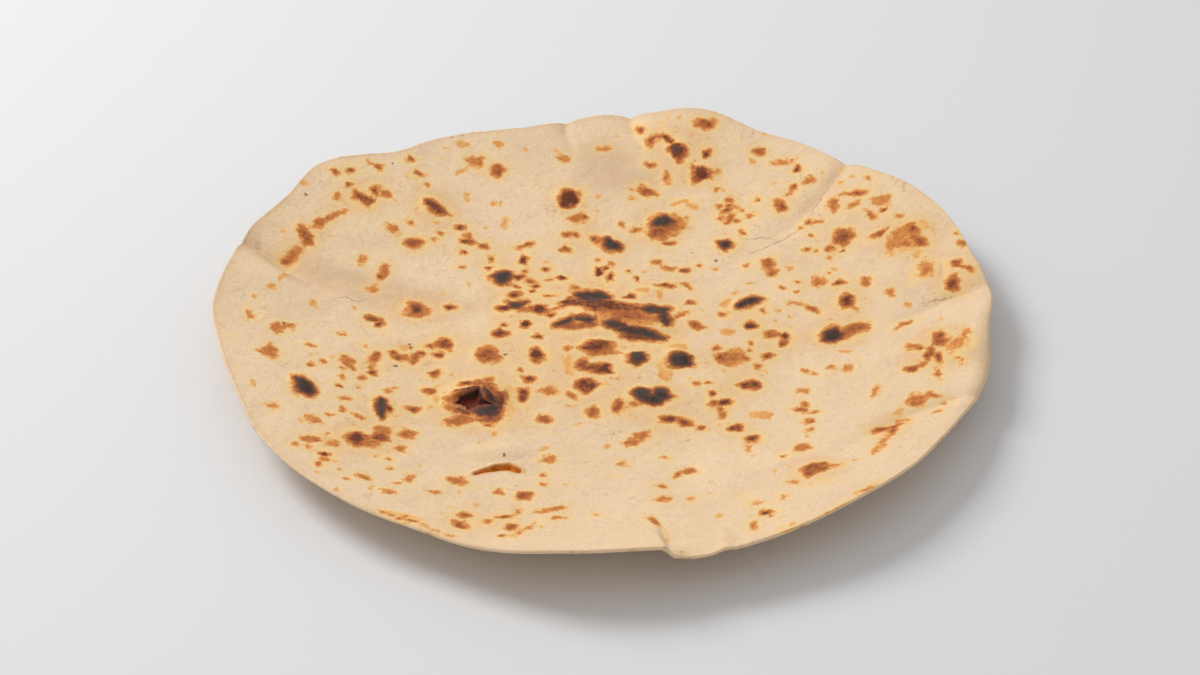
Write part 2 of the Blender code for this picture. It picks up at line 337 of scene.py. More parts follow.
def sheet_height(x, y):
    """The underside of the bread: flat in the middle, rising to the rim, with its creases."""
    angle = direction(x, y)
    radius = np.hypot(x, y)
    edge = edge_radius(angle)
    out = np.clip((radius - FLAT_RADIUS) / (edge - FLAT_RADIUS), 0.0, 1.0)
    height = rim_height(angle) * out**DISH_POWER
    height += lip_height(x, y)
    height += WAVE_HEIGHT * noise_at(x, y, WAVE_LENGTH, WAVE_SEED_POINT) * out
    for points, depths, left, right in CREASES.values():
        height -= crease_depth(x, y, points, depths, left, right)
    for points, heights, width in RIDGES.values():
        signed, ridge = nearest_on_path(x, y, points, heights)
        height += ridge * bump(signed, width)
    rolled = bump(turn_between(angle, ROLL_ANGLE), ROLL_HALF_WIDTH)
    height -= ROLL_DEPTH * rolled * np.clip(1.0 - (edge - radius) / ROLL_REACH, 0.0, 1.0) ** 2
    return np.maximum(height, 0.0)


def ellipse_parts(x, y, cx, cy, length, width, turn):
    """Where each point is in an ellipse's own directions, in units of its half axes."""
    cosine, sine = math.cos(math.radians(turn)), math.sin(math.radians(turn))
    along = ((x - cx) * cosine + (y - cy) * sine) / (length / 2)
    across = ((y - cy) * cosine - (x - cx) * sine) / (width / 2)
    return along, across


def blister_height(x, y):
    """The raised blisters of the top."""
    height = np.zeros_like(x)
    for (cx, cy), length, width, turn, top in BLISTERS:
        along, across = ellipse_parts(x, y, cx, cy, length, width, turn)
        height += top * np.clip(1.0 - along**2 - across**2, 0.0, 1.0) ** BLISTER_POWER
    return height


def burst_reach(x, y):
    """How far each point is past the ragged edge of the burst, in millimetres."""
    off_x, off_y = x - BURST_CENTRE[0], y - BURST_CENTRE[1]
    around = direction(off_x, off_y)
    reach = np.interp(around, list(BURST_REACH), list(BURST_REACH.values()), period=360.0)
    for count, turn in TATTER_WAVES.items():
        reach += TATTER_REACH * np.cos(np.radians(around * count + turn))
    return np.hypot(off_x, off_y) - reach


def tear_reach(x, y):
    """How far each point is past the edge of the tear, plus on either side."""
    signed, opening = nearest_on_path(x, y, TEAR_PATH, TEAR_OPENING)
    return np.abs(signed) - TEAR_HALF_WIDTH * opening, signed


def opening_relief(x, y):
    """The pit of the burst with the flap behind it, and the slot of the tear with its lip."""
    past = burst_reach(x, y)
    relief = -BURST_DEPTH * (1.0 - smooth_step(past, *BURST_WALL))
    behind = smooth_step(y - BURST_CENTRE[1], *FLAP_SIDES)
    relief += FLAP_HEIGHT * bump(past - FLAP_AWAY, FLAP_WIDTH) * behind
    beyond, signed = tear_reach(x, y)
    relief -= TEAR_DEPTH * (1.0 - smooth_step(beyond, *TEAR_WALL))
    relief += TEAR_LIP_HEIGHT * bump(beyond - TEAR_LIP_AWAY, TEAR_LIP_WIDTH) * (signed > 0.0)
    return relief


def hairline_parts(x, y):
    """Signed distance to the nearest hairline crack, and how strongly the crack shows there."""
    away = np.full_like(x, HAIRLINE_REACH)
    strength = np.zeros_like(x)
    for points in HAIRLINES:
        shown = [0.0] + [1.0] * (len(points) - 2) + [0.0]
        signed, value = nearest_on_path(x, y, points, shown)
        closer = np.abs(signed) < np.abs(away)
        away = np.where(closer, signed, away)
        shown_here = value * (1.0 - smooth_step(np.abs(signed), *HAIRLINE_FADE))
        strength = np.where(closer, shown_here, strength)
    return away, strength


def wrinkles(x, y):
    """The small relief of the skin, from noise of three sizes."""
    height = np.zeros_like(x)
    for number, (length, tall) in enumerate(WRINKLES.values()):
        seed_point = WRINKLE_SEED_POINT + number * WRINKLE_SEED_STEP
        height += tall * noise_at(x, y, length, seed_point)
    return height


def top_height(x, y):
    """The top of the bread."""
    angle = direction(x, y)
    out = np.hypot(x, y) / edge_radius(angle)
    thickness = THICKNESS_MIDDLE + (THICKNESS_EDGE - THICKNESS_MIDDLE) * out**3
    relief = blister_height(x, y) + opening_relief(x, y) + wrinkles(x, y)
    return sheet_height(x, y) + thickness + relief


def plan_middle():
    """The middle of the outline's bounding box."""
    angle = np.arange(0.0, 360.0, 0.5)
    edge = edge_radius(angle)
    x, y = edge * np.cos(np.radians(angle)), edge * np.sin(np.radians(angle))
    return (x.min() + x.max()) / 2, (y.min() + y.max()) / 2


def flat_disc():
    """A flat disc of even triangles, one unit in radius, from a six-sided fan."""
    mesh = bmesh.new()
    mesh.verts.layers.float.new("side")
    bmesh.ops.create_circle(mesh, cap_ends=True, cap_tris=True, segments=FAN_SIDES, radius=1.0)
    bmesh.ops.subdivide_edges(mesh, edges=mesh.edges, cuts=RINGS - 1, use_grid_fill=True)
    return mesh


def two_sides(mesh):
    """Copies the disc upwards, splits the copy finer and cuts rings into the rim between."""
    grown = bmesh.ops.extrude_face_region(mesh, geom=mesh.faces)["geom"]
    top = {item for item in grown if isinstance(item, bmesh.types.BMVert)}
    side = mesh.verts.layers.float["side"]
    for vertex in top:
        vertex[side] = 1.0
    risers = [edge for edge in mesh.edges if len(top & set(edge.verts)) == 1]
    top_edges = [edge for edge in mesh.edges if len(top & set(edge.verts)) == 2]
    bmesh.ops.subdivide_edges(mesh, edges=top_edges, cuts=1, use_grid_fill=True)
    bmesh.ops.subdivide_edges(mesh, edges=risers, cuts=2, use_grid_fill=True)
    bmesh.ops.triangulate(mesh, faces=[face for face in mesh.faces if len(face.verts) > 3])
    return side


def spread_to_outline(mesh):
    """Rounds the six-sided fan and stretches it out to the bread's own outline."""
    half_sector = math.pi / FAN_SIDES
    for vertex in mesh.verts:
        angle = math.atan2(vertex.co.y, vertex.co.x)
        inside_sector = (angle + half_sector) % (2 * half_sector) - half_sector
        vertex.co.xy *= math.cos(inside_sector) / math.cos(half_sector)
    x, y = (np.array([vertex.co[axis] for vertex in mesh.verts]) for axis in (0, 1))
    for vertex, radius in zip(mesh.verts, edge_radius(direction(x, y))):
        vertex.co.xy *= radius


def refine_patches(mesh, side):
    """Splits the top's triangles where the burst, the tear and the large blister are."""
    for (cx, cy), radius, times in FINE_PATCHES:
        centre = Vector((cx, cy))
        for step in range(times):
            reach = radius + FINE_MARGIN * (times - 1 - step)
            edges = [
                edge
                for edge in mesh.edges
                if all(v[side] > TOP_SIDES[1] and (v.co.xy - centre).length < reach for v in edge.verts)
            ]
            bmesh.ops.subdivide_edges(mesh, edges=edges, cuts=1)
            bmesh.ops.triangulate(mesh, faces=mesh.faces)


def shape_sheet(mesh, side):
    """Gives both sides and the rounded rim their heights, and keeps the plan coordinates."""
    sides = np.array([vertex[side] for vertex in mesh.verts])
    x = np.array([vertex.co.x for vertex in mesh.verts])
    y = np.array([vertex.co.y for vertex in mesh.verts])
    low, high = sheet_height(x, y), top_height(x, y)
    angle = direction(x, y)
    from_edge = edge_radius(angle) - np.hypot(x, y)
    inset = np.interp(sides, [0.0, 1 / 3, 2 / 3, 1.0], RIM_INSETS)
    inward = 1.0 - np.where(from_edge < RIM_TOLERANCE, inset, 0.0) / EDGE_RADIUS
    heights = low + (high - low) * sides
    for vertex, shrink, height in zip(mesh.verts, inward, heights):
        vertex.co.xy *= shrink
        vertex.co.z = height
    return x, y, sides


def keep_inside_box(mesh, lowest, highest):
    """Presses the few points that stand past the node's box back to it."""
    for vertex in mesh.verts:
        for axis in range(3):
            vertex.co[axis] = min(max(vertex.co[axis], lowest[axis]), highest[axis])


bread_mesh = flat_disc()
side_layer = two_sides(bread_mesh)
spread_to_outline(bread_mesh)
refine_patches(bread_mesh, side_layer)
plan_x, plan_y, sides = shape_sheet(bread_mesh, side_layer)
middle_x, middle_y = plan_middle()
bmesh.ops.translate(bread_mesh, verts=bread_mesh.verts, vec=(-middle_x, -middle_y, 0.0))
bmesh.ops.scale(bread_mesh, verts=bread_mesh.verts, vec=(MM, MM, MM))
keep_inside_box(bread_mesh, *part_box("chapati"))
bmesh.ops.recalc_face_normals(bread_mesh, faces=bread_mesh.faces)
bread_data = bpy.data.meshes.new("bread")
bread_mesh.to_mesh(bread_data)
bread_mesh.free()
bread_data.shade_smooth()
bread = bpy.data.objects.new("bread", bread_data)
bpy.context.scene.collection.objects.link(bread)

# The toast marks of the top, where the dough's blisters touched the hot griddle. Each is its
# middle, length, width and turn in degrees, in groups from pale yellow to charred black. A
# mark without a turn lies along x, and one with a single size is round.
YELLOW_SPOTS = [
    (-117, -10.7, 3, 1.5, 80), (-114, 7.3, 1.5, 1), (-108.3, -7.7, 1.5), (-103.5, -61, 3, 1, 90),
    (-103, -38, 2.5, 1.3, 90), (-93, -58.3, 2.5, 1.5), (-72.7, 85.3, 2), (-58, -103, 14, 9, -30),
    (-56.3, 97, 2.5, 2), (-50.5, -31, 10, 9), (-34, -54, 4, 1.3, 90), (-14.3, -45, 2.5),
    (6, -67.5, 3, 2.5), (12, 34, 9, 6), (22, -58, 4.5, 4), (24.5, 2.5, 11, 8), (28.5, 81, 12, 8),
    (38.3, -53, 3.5, 3), (42, 24.5, 12, 6, 90), (43, -81, 5, 3.5, 10), (43.3, -13, 3, 2),
    (43.5, 76.5, 13, 10, 80), (45, -86.7, 4, 1.5, 50), (47, 110.7, 2.5, 2), (57, -106, 9, 7, 20),
    (64, -82, 6, 3, 10), (70, -80, 8, 4, -10), (83.5, -6, 6, 3, -70), (104, 34, 10, 5, 80),
    (117, -9, 12, 7, 70),
]
# Painted shade: soft darker patches where the folds and hollows lie in shade, over a crumb that is a
# little less floury there
PAINTED_SHADE_PATCHES = [
    (-98, 36, 30, 13, -20), (-78, 29, 40, 17, -8), (-55, 24, 30, 12, -10), (1, 100, 20, 24),
    (-112, 40, 16, 5, -8), (12, 93, 18, 12), (78, 84, 22, 5, 57), (115, -12, 14, 20, 80),
    (-95, 32, 24, 9, -30),
]
GOLDEN_SPOTS = [
    (-112.1, 12.5, 3, 2.5, 90), (-107.7, -36, 5, 1.8, 90), (-107.3, 17.7, 4), (-106.5, 50.7, 3, 2.5),
    (-104.5, 26.5, 8, 3, 75), (-103.5, -30, 1.5, 1), (-101.7, 75, 4, 3.5), (-98, -9.3, 1.8, 1.5),
    (-97.5, -15.7, 1.7, 1.6), (-93.3, 14.3, 5, 3.5, -60), (-91.7, -13, 2, 1.5, 90), (-91.3, -52.7, 2.5),
    (-86.3, -7, 1.5, 1), (-85.3, -12.3, 3, 1.7, 60), (-84.3, -81.5, 2), (-82, 2.6, 3, 1.2, 30),
    (-81, -9.3, 1.5), (-80.3, 16.7, 2), (-79.5, -73.5, 3, 2.5, -40), (-77.3, -90.3, 3, 2.3, 90),
    (-71.5, 75.5, 5, 2, -35), (-70.3, 4.1, 2.5, 2), (-67.3, -86.5, 4, 2.5, 80),
    (-67.3, 86.5, 3, 1.5, 90), (-64.3, 86.3, 2.5), (-63.3, -41, 3, 2.5), (-63.3, 71.7, 2.5),
    (-62.5, -1.5, 6, 3.5), (-62, -100.5, 5, 1.2, 80), (-61.3, 74.7, 2.5), (-59, -106, 6, 2, -25),
    (-58.5, -103, 5, 1.2, 85), (-57, -102, 14, 5, -28), (-56, 66, 2.5), (-55.5, -104.5, 6, 2.5, 80),
    (-55.5, 0, 5, 4), (-54.7, 103, 2.5, 2), (-54.5, -68, 1.5), (-53.3, -34.3, 3.5, 2.5, 80),
    (-53, -17.7, 3, 2.5, 90), (-52.3, 29.7, 3, 1.8, 90), (-51.5, -29, 5, 3.5, -60),
    (-51.3, -21.5, 6, 2.2, 40), (-49, 105.7, 5, 4), (-48.5, 93.7, 8, 2.2, 48), (-48, -112, 6, 1.8, -25),
    (-48, -29.5, 6, 2, 10), (-47.5, -33, 5, 2, -30), (-47, -41, 6, 4, 20), (-46.3, 80.7, 5, 2.5, 90),
    (-46, -96.7, 2.5, 1.5, -30), (-44.5, -29.6, 9, 1.6, 6), (-43.7, 35.7, 3, 1.8, 90),
    (-43.5, -92.5, 3, 1.7), (-41, -82.3, 3.5, 1.8, 80), (-39.3, 66.1, 2.5, 2), (-37.5, -18.3, 2.5, 2),
    (-37, 78.7, 3.5, 3), (-36.7, -51, 2.5, 1.7, 90), (-36.3, 106.7, 4.5, 3.5), (-36, -89.5, 2.5),
    (-35, -40.7, 8, 3, -10), (-34.7, 78.7, 3, 2, 90), (-33, 68, 5, 3, 90), (-32.7, 71, 3.5, 3),
    (-32, -46, 4, 2.5, 70), (-28.3, -23, 6, 4, -50), (-28, -34, 8, 3.5, 90), (-27.3, 105.3, 4, 1.5, -65),
    (-24.8, 47.5, 6, 2, -60), (-22.7, -44.7, 1.5, 1), (-22.3, -41, 1.5), (-22, -34.7, 3, 2, 90),
    (-18.3, 49.3, 2.5), (-17, -53.3, 5, 2.8, 20), (-16.3, -102, 3.5, 1.5, 90), (-16.3, 105.7, 2.5, 2),
    (-14.7, -12, 2), (-10, -73.5, 1.8, 1.5), (-10, -9.5, 8, 3, 80), (-9.5, -9, 5, 11),
    (-8, -30.5, 5, 1.7), (-6.5, -40.5, 2.5), (-3.3, -64.3, 1.3, 1), (-3.3, -60, 1.5, 1.3),
    (-1.7, 78, 2.5, 1.5, 90), (-1.2, 84.7, 3.5, 1.8, 90), (0.3, 36.7, 3, 1.5, 90), (1.5, -19, 4, 3),
    (3, -51.5, 4, 3, 70), (5.7, 114.3, 2.5, 2), (13, -14, 2, 1.5), (14, 34, 6, 3.5), (14.7, 45.3, 3, 2),
    (19, -50, 2, 1.5, 90), (20, 32, 8, 3, 90), (20, 119, 3, 2), (20.3, -63, 1.5, 1),
    (20.8, -9.5, 14, 5, 90), (21, -105.3, 9, 1.4, -80), (22.5, -12.5, 7, 2.5, 85), (22.9, 122, 2),
    (25.3, -117.5, 3, 1.3, 75), (26, 2.5, 7, 5), (27, 82, 7, 3, 20), (27, 121.3, 2.5, 2),
    (28, -47, 3, 1.5, 80), (28.9, -14.7, 2, 1.5, 90), (30.5, 27.7, 5, 3), (31, 79.5, 5, 3, -30),
    (33, -26.3, 1.5), (33.7, -64, 1.3), (33.7, 22.7, 2.5), (34, -79, 2.5, 1.5, 30),
    (37, -93, 3.5, 3, 60), (38, -39.3, 2), (38.3, 46.3, 3, 2.5), (38.5, -109.5, 3, 1.3, 80),
    (39.7, -10.3, 2.5, 1.5, 90), (41, -109, 2.5, 1.2, 80), (41.5, 27, 6, 4, 80), (42, 10.5, 5, 4.5),
    (42, 21.5, 5, 4, 60), (45, 32, 2.5), (46, -95, 2, 1.5), (47, 81, 1.5), (48, -58.5, 2, 1.5),
    (49.7, 37.7, 3.5, 2), (51.3, -34.7, 8, 5), (52.3, 101.3, 3), (53.5, -10.5, 5, 2, -50),
    (53.7, -69.7, 3, 2, 70), (54, -105.5, 3, 1.4, 80), (54.5, -98, 3, 1, 90), (56, -108.5, 6, 2.2, 28),
    (57, 16.7, 2), (57, 112.7, 2.5), (58, -104.5, 4, 1.6, 80), (58.7, 22.3, 3), (58.7, 89.3, 2.5, 2),
    (62.3, 18.3, 3, 2, 90), (65, -48, 4, 1.5, 80), (76, 91, 3, 1.5, 90), (78.7, -68, 3, 1.5),
    (79.5, -2, 5.5, 3, -10), (81.8, 84.5, 4, 2.3, 90), (82, 91.7, 2), (83, -46.3, 2.3, 1.3, 90),
    (85.7, 86.3, 3, 2.5), (89, -52, 4, 2, 60), (94, -39.3, 5, 2.5, 20), (95.3, 84.5, 1.5),
    (97, -45.5, 2.5, 2), (97, 45.3, 3), (101.3, 20, 3.5, 3), (102, -45, 2, 1.5), (103.5, 49.5, 9, 9, 60),
    (103.7, 56, 10, 9, 20), (105, 43.3, 4, 3.5, 90), (106, 45, 4, 3, 60), (107.7, 35.7, 9, 5, 90),
    (108, 57, 5, 6), (110, -35.3, 3.5, 1, 30), (111, 9, 4, 1.5, 90), (112.5, -11, 5, 3, 70),
    (115, -17.5, 4, 2, 80), (115.5, -7, 6, 4, 30), (118, -1, 5, 3, 60),
]
ORANGE_SPOTS = [
    (-112.8, 2.8, 5, 2.5, -60), (-107.7, -17, 3, 2), (-101, -46.3, 3.3), (-88.3, -67, 4, 2.5, -60),
    (-88, -50.5, 6, 5, -30), (-80.8, 90.5, 2.5, 2), (-80.7, -63, 4), (-80, 42.7, 5, 2.8, 90),
    (-78.3, -78, 1.5, 1), (-75.7, -83, 1.4), (-75.7, 29.3, 5.5, 4, 90), (-75.5, -27, 1.2),
    (-71, 60, 8, 4, -55), (-66, -27, 5.5, 2.2, 35), (-62, -87, 4.5, 3.5, -30), (-60.3, 84, 2, 1.5, 90),
    (-60, -80.3, 3, 1.5), (-57, -76.5, 5.5, 3, 80), (-50.6, -106.6, 3, 1.3, -25), (-49, -83, 3.7, 2.3),
    (-47, -108.6, 2.6, 1.2, -25), (-43, -110.6, 3, 1.2, -20), (-24, -92, 6.5, 1.8, 62),
    (-21, -104, 13, 2, 62), (-13.5, -89, 10, 3, 30), (-13.3, 102.7, 5, 4.5), (1, 108.5, 6, 2),
    (7.5, -60.7, 3.3, 3, 30), (9.9, 88.3, 1.3), (20, -81, 6, 3.7), (20.5, -57, 1.6, 1.5),
    (28.7, -81, 3, 2.3, 60), (39.3, 96.3, 5, 2, 20), (44, 82.5, 3, 2.3), (45.7, 78.5, 3, 2.6),
    (46.5, -52.5, 7, 1.8, 85), (48.5, -86.7, 4, 1.2, -8), (51.5, -95.5, 3, 1.6, 80),
    (55.7, -86.3, 2.7, 1.7, 60), (59, -77.3, 3, 2.7, 90), (62.7, 99.3, 8.5, 2.5), (63.7, 45, 3.5, 2.5),
    (64.5, 26, 6, 2.2, -15), (64.7, -22.7, 4.5, 2.5, -15), (66.3, -45, 3), (66.5, -11, 3, 2, -30),
    (67.7, 64.7, 1.5), (69, -13.2, 3.2, 2, -60), (71.3, 88, 4.5), (74.5, -10.3, 3, 2),
    (79.3, -11.5, 4, 3.5, 90), (84, 20, 4, 2, -60), (85.3, 72, 6, 3, 25), (86, -61.5, 8, 3, 62),
    (87.5, -26.5, 7.5, 2.3, 72), (88.5, -56, 8, 2.5, 65), (91.3, 84, 1.8), (95, -43.5, 5, 2.5, -10),
    (95.3, 27, 5, 2.5, 90), (95.3, 72, 7, 5), (97.6, 50.5, 5, 9, -15), (99.3, 49.3, 3),
    (101.3, 54, 8, 7, 60), (106, -42.7, 2.5, 2, 80), (107, -18, 2, 1.3, 90), (107.8, 36.5, 5.4, 9),
    (108, -37.3, 2.5, 1.2, 30), (115, -7, 7, 5, 30), (115.3, -17.5, 3, 1.6, 80), (118, -1.5, 5, 3, 60),
]
RUSSET_SPOTS = [
    (-104.7, -16, 8.5, 5, -75), (-103.7, -1.3, 6, 4, 80), (-102.7, 41, 10, 3.3, 58),
    (-100, 0.7, 3.2, 2.5), (-92.3, -66.5, 2.3), (-91.3, -18.7, 3.3, 2, -60), (-91.3, 60.7, 15, 2.8, 45),
    (-90, 71.7, 4, 2, 90), (-88, -62, 5.5, 3.7), (-88, -15.7, 2.3, 2, 90), (-83.3, -46.3, 2.3, 1.5),
    (-83.3, 1.9, 2.5, 1.8, 20), (-83, -58, 1.5), (-82.7, -73.3, 3, 2), (-80.3, -14.3, 5.5, 4.5, -60),
    (-80, -42, 3, 2.5, -60), (-79.3, -35, 4, 1.8, 10), (-75.3, -21.7, 3, 2.5), (-74, 77, 4, 3.5, 90),
    (-73, -14.7, 4, 2, 80), (-72.2, 38.5, 7.5, 2.7, 77), (-70.5, -80.5, 4.5, 2.5, -30),
    (-70.5, -59.5, 7, 4.5), (-66.5, -50, 5), (-63.3, 89, 4, 3), (-63.2, -100.4, 2.6, 1.4, -30),
    (-63, -72.7, 1.5, 1), (-60.6, -101.6, 1.5, 2.4, -30), (-60.5, -59, 4, 3.5, 90),
    (-60.5, 20, 10, 9, -55), (-59.3, -50.3, 6, 5), (-56.6, -101.4, 2, 1.5), (-46, -30, 6, 5),
    (-45.8, -34.2, 7.5, 3.4, -32), (-45.3, 60.7, 3), (-44, 98.5, 7, 5), (-42.3, -75, 6.7, 5.7),
    (-32.3, -99.3, 3.5, 2.5, 80), (-29.7, -79.5, 3.7, 3, 60), (-24, 22, 8, 3, 15), (-17, 21.5, 9, 3, 10),
    (-16.5, -73.3, 2.3, 2), (-15.5, -23, 5.5, 5), (-15, -59, 4.5, 4, 90), (-13, -88.7, 4, 1.7, 30),
    (-11.5, -95, 4, 2.5, 40), (-10.3, 0, 3.5, 2.6, 80), (-8.7, 34.7, 3.5, 3, 90), (-8, 73.3, 7, 4.5, 30),
    (-1, 51.3, 1.5), (0, -91.7, 2, 1.5), (0.5, -1, 12, 5), (3.7, 49, 3, 1.5, 90), (7, 70.7, 3, 1.7, 90),
    (9, 19, 29, 12, -14), (10.2, 84, 1.3), (10.5, -49.3, 5.5, 4), (11, -29.7, 3.5, 2.5),
    (11.7, 67.9, 3, 2), (13.5, -46, 9, 3, 38), (17, -96, 7.5, 3, -55), (18.7, 50.3, 4, 3, -35),
    (19.7, -73.7, 3.5, 2.3), (22.3, 94.3, 4.5, 2.8, 90), (22.5, 70.5, 12), (22.7, 47.3, 4, 3, -35),
    (22.9, 90.7, 1.5), (24.5, -67, 4, 2.5, 45), (26.7, 20.3, 6, 1.8, 35), (28.3, -65, 4),
    (28.7, 37, 5.5, 1.8, -57), (31, -17.5, 2.5), (35.5, -17, 2.5, 1.7), (39, -34, 4.5, 3, 90),
    (40, 88, 3, 2, 90), (40.5, 80, 3, 2.5), (42.5, -3, 10, 9), (44, 72.5, 3, 2.2), (44.5, 74.5, 2.5, 2),
    (46.7, -101.5, 5.5, 2, 90), (50.5, 73.5, 3, 2.5, 90), (60.3, 34.7, 3, 1.5, -35), (63.3, -56, 5.5, 5),
    (64.3, 82.3, 2), (65.3, -29.7, 3.3, 3), (66, -40, 3.5, 2.5, 30), (68, -35.3, 2),
    (70, -100, 9, 1.2, 40), (72, -70.3, 4, 1.5, 10), (72.7, 36.7, 5.5, 5), (76, 40.7, 1.7, 1.5),
    (77, 48.3, 1.5), (77, 52.7, 3, 2.5), (78.3, 42, 1.5, 1), (79, 74, 8, 4, 90),
    (80.5, -89.5, 9, 1.6, 47), (87.9, 34.3, 5, 3, 90), (91.1, 66, 5, 2, -50), (98.7, 9.5, 8, 2, 35),
    (99.7, -34.5, 7, 6.5, 90), (99.8, 55, 4, 3, 60), (100.7, 63.3, 3, 1.5), (101, -4.3, 5, 3, -20),
    (101.5, 50, 5, 4), (103, -14.5, 4, 3, 30), (103.5, 57, 6, 5, 20), (105, -33.3, 5, 2.5, -20),
    (105.6, 53.6, 4, 7, 20), (106.3, 50.5, 5, 4.5, 90), (107.7, -21.5, 6, 1.7, 88),
    (108.3, 36, 6, 3, 80),
]
BROWN_SPOTS = [
    (-99.5, 50.5, 10, 4, -70), (-95.3, 57, 3), (-92.7, -8.3, 2, 1.3), (-91.3, 83.7, 3.3, 2.8),
    (-86.5, 78.7, 1.8), (-86.5, 86.2, 3, 2.3), (-83.7, -76.7, 2, 1.3, 80), (-83.5, 74, 5, 4, 30),
    (-82, -29, 2.3, 1.5, -40), (-82, -18.7, 1.2), (-81.7, -11.5, 2.3, 1.5), (-81.3, -23.3, 3, 1.5, 90),
    (-80.5, 72.5, 5, 4.5, -30), (-78.6, -17.3, 3, 1.5, -60), (-77.7, 78, 5.3, 3.3, 90),
    (-77, 89, 2.7, 2.5), (-75.8, -3.2, 1.3), (-75, -44.5, 3.5, 1.5, -30), (-74.3, 12.3, 5.5, 4),
    (-72, -18, 3.7, 3), (-71.9, -8.7, 7, 3, 62), (-67.3, -66.3, 1.3, 1.2, 90), (-66, -5, 2.5, 2),
    (-65, 64.3, 2.5, 1.8, 90), (-64, -67.3, 1.3, 1.2), (-64, -7.3, 5, 4), (-63.3, 54.3, 7, 4.5, 20),
    (-60, -7, 6, 3, 90), (-58.3, -103, 3, 1.3, -30), (-58.3, -36, 4.3, 3.5), (-56.7, 57, 2, 1.5),
    (-55, 60.7, 1.5), (-54.5, 0, 3.5, 3), (-54.4, -104.2, 3.4, 1.3, -27), (-54, -25, 5, 4, 30),
    (-52.5, -14.7, 4.5, 4), (-50.2, 1.2, 7, 5.5, -60), (-47, 44.7, 1.5), (-43.8, -40.2, 8.5, 5.4, 25),
    (-39.3, -96.3, 5.3, 4), (-39.3, 55.7, 3.5, 2), (-36.7, 50, 3, 2, 90), (-36.1, 94.7, 6, 5, 90),
    (-36, -22.5, 12, 6, -45), (-36, -4.3, 10, 8, 80), (-35.3, -18, 3.5, 3), (-34.7, 7.3, 1.6, 1.2),
    (-34, -41.7, 2.7, 1.7), (-34, -38.5, 9, 4, 10), (-27.5, -95.7, 5, 2.7, 20), (-27, -109.3, 1.8, 1.7),
    (-25.7, -12, 2.5, 2, -40), (-25.3, 58, 8, 2, 32), (-23, 38.3, 4, 2.5), (-21.7, -81.3, 5, 4.3, 50),
    (-18.3, 45, 2.5, 1.8, 90), (-17.5, 39, 2, 1.5), (-16.5, -37.7, 4.7, 3.5, -15), (-16.3, -67.7, 2),
    (-12.3, 23.3, 3, 2.5), (-12.3, 57.3, 4, 3.5, 90), (-11.5, 64.5, 4, 3.5, 90), (-9.3, 27, 6, 4, 80),
    (-8.7, -25, 4, 2.5, -60), (-8.7, 64.5, 3, 2.7, 90), (-8, 12.5, 16, 4, 5), (-5, -8.5, 7.5, 5, 90),
    (-1.7, -34, 6.5, 5, -60), (-1.2, 62, 6, 3, -35), (6.3, -30.3, 8, 3.5, 85), (10, 17.5, 14, 5, -14),
    (11.7, 41, 3, 1.5, 90), (13.2, 117.5, 4, 2, -55), (16, 87, 8, 3.5, -30), (16.7, 100, 3.3, 3),
    (17.3, 111.6, 6, 2.7, 45), (23, 61, 5, 2), (29.3, 73.7, 1.5), (30, 27.7, 3.5, 2),
    (31.7, 14.3, 7, 4, -45), (32.3, -41.3, 2.7, 2.3), (33.3, 48.7, 2, 1.5), (36, 117.7, 7.5, 4.5),
    (38, 2, 3, 1.5, 45), (39, -31, 2, 1.5), (40.7, 20.7, 2.5), (41, 73.5, 2, 1.5), (42.5, 77, 4, 3, 30),
    (43, 70.8, 2, 1.3), (43.3, 79.8, 3, 2, 60), (46.5, -4, 4, 3), (46.5, 71.5, 2, 1.5),
    (48.3, 76.8, 1.3), (48.5, 1.3, 2, 1.5, 70), (49, 47.7, 1.5), (49.5, 5, 2.5, 1.3, 70),
    (51.3, -7.7, 2.5, 2), (54, 22.7, 2), (54.7, -2.3, 5, 3.5, 45), (54.7, 105.3, 5, 3.5, -35),
    (56.3, 9.7, 5.5, 3.5), (56.3, 47.3, 6.5, 4, 90), (57, -60, 1.5, 1.2), (57.7, 43, 3.5, 2.5, 40),
    (61.2, 77, 7, 4, -60), (63.7, -33, 4, 3.5), (65, -73, 6, 5.5, 60), (65.3, 32, 1.6),
    (65.7, 37.5, 1.5), (65.9, 85.5, 3.5, 2.5, 60), (66.5, -72, 6, 4.5, 40), (66.5, -71, 9, 6.5, 30),
    (69.3, 53, 2.5, 2, 90), (70, 22.5, 6.5, 2.2, -48), (71.3, 60, 1.5), (72.7, 52, 1.5),
    (73, 66.3, 4, 1.5), (79.7, 35, 4.5, 3), (80, 8, 6, 5), (81, 50.7, 1.5), (82, 57.3, 9, 7, 90),
    (83.5, 10.2, 11, 5.5, 15), (86.5, 77.5, 10, 2.5, -6), (89.5, -48, 11, 3, 20),
    (90, -47.7, 6, 1.7, 20), (91, -50.5, 5, 3, 70), (94, 56.8, 6.5, 1.8, 27), (95.7, 67.2, 2),
    (100, -16, 5, 4, 70), (104, 52, 2), (106, -9.3, 8, 3, 75), (108.3, -13, 7, 1.7, 95),
    (109.8, -2, 9.5, 4.5, 90), (110, -4, 5, 5.5, 90), (114, -15, 1.3, 1.2, 90),
    (116.1, 26.7, 6.5, 4.5, 90), (118, 35.7, 4.5), (119.3, 51.2, 1.3), (120.5, 45.7, 2.5),
    (121, 32, 5, 1.5, -50),
]
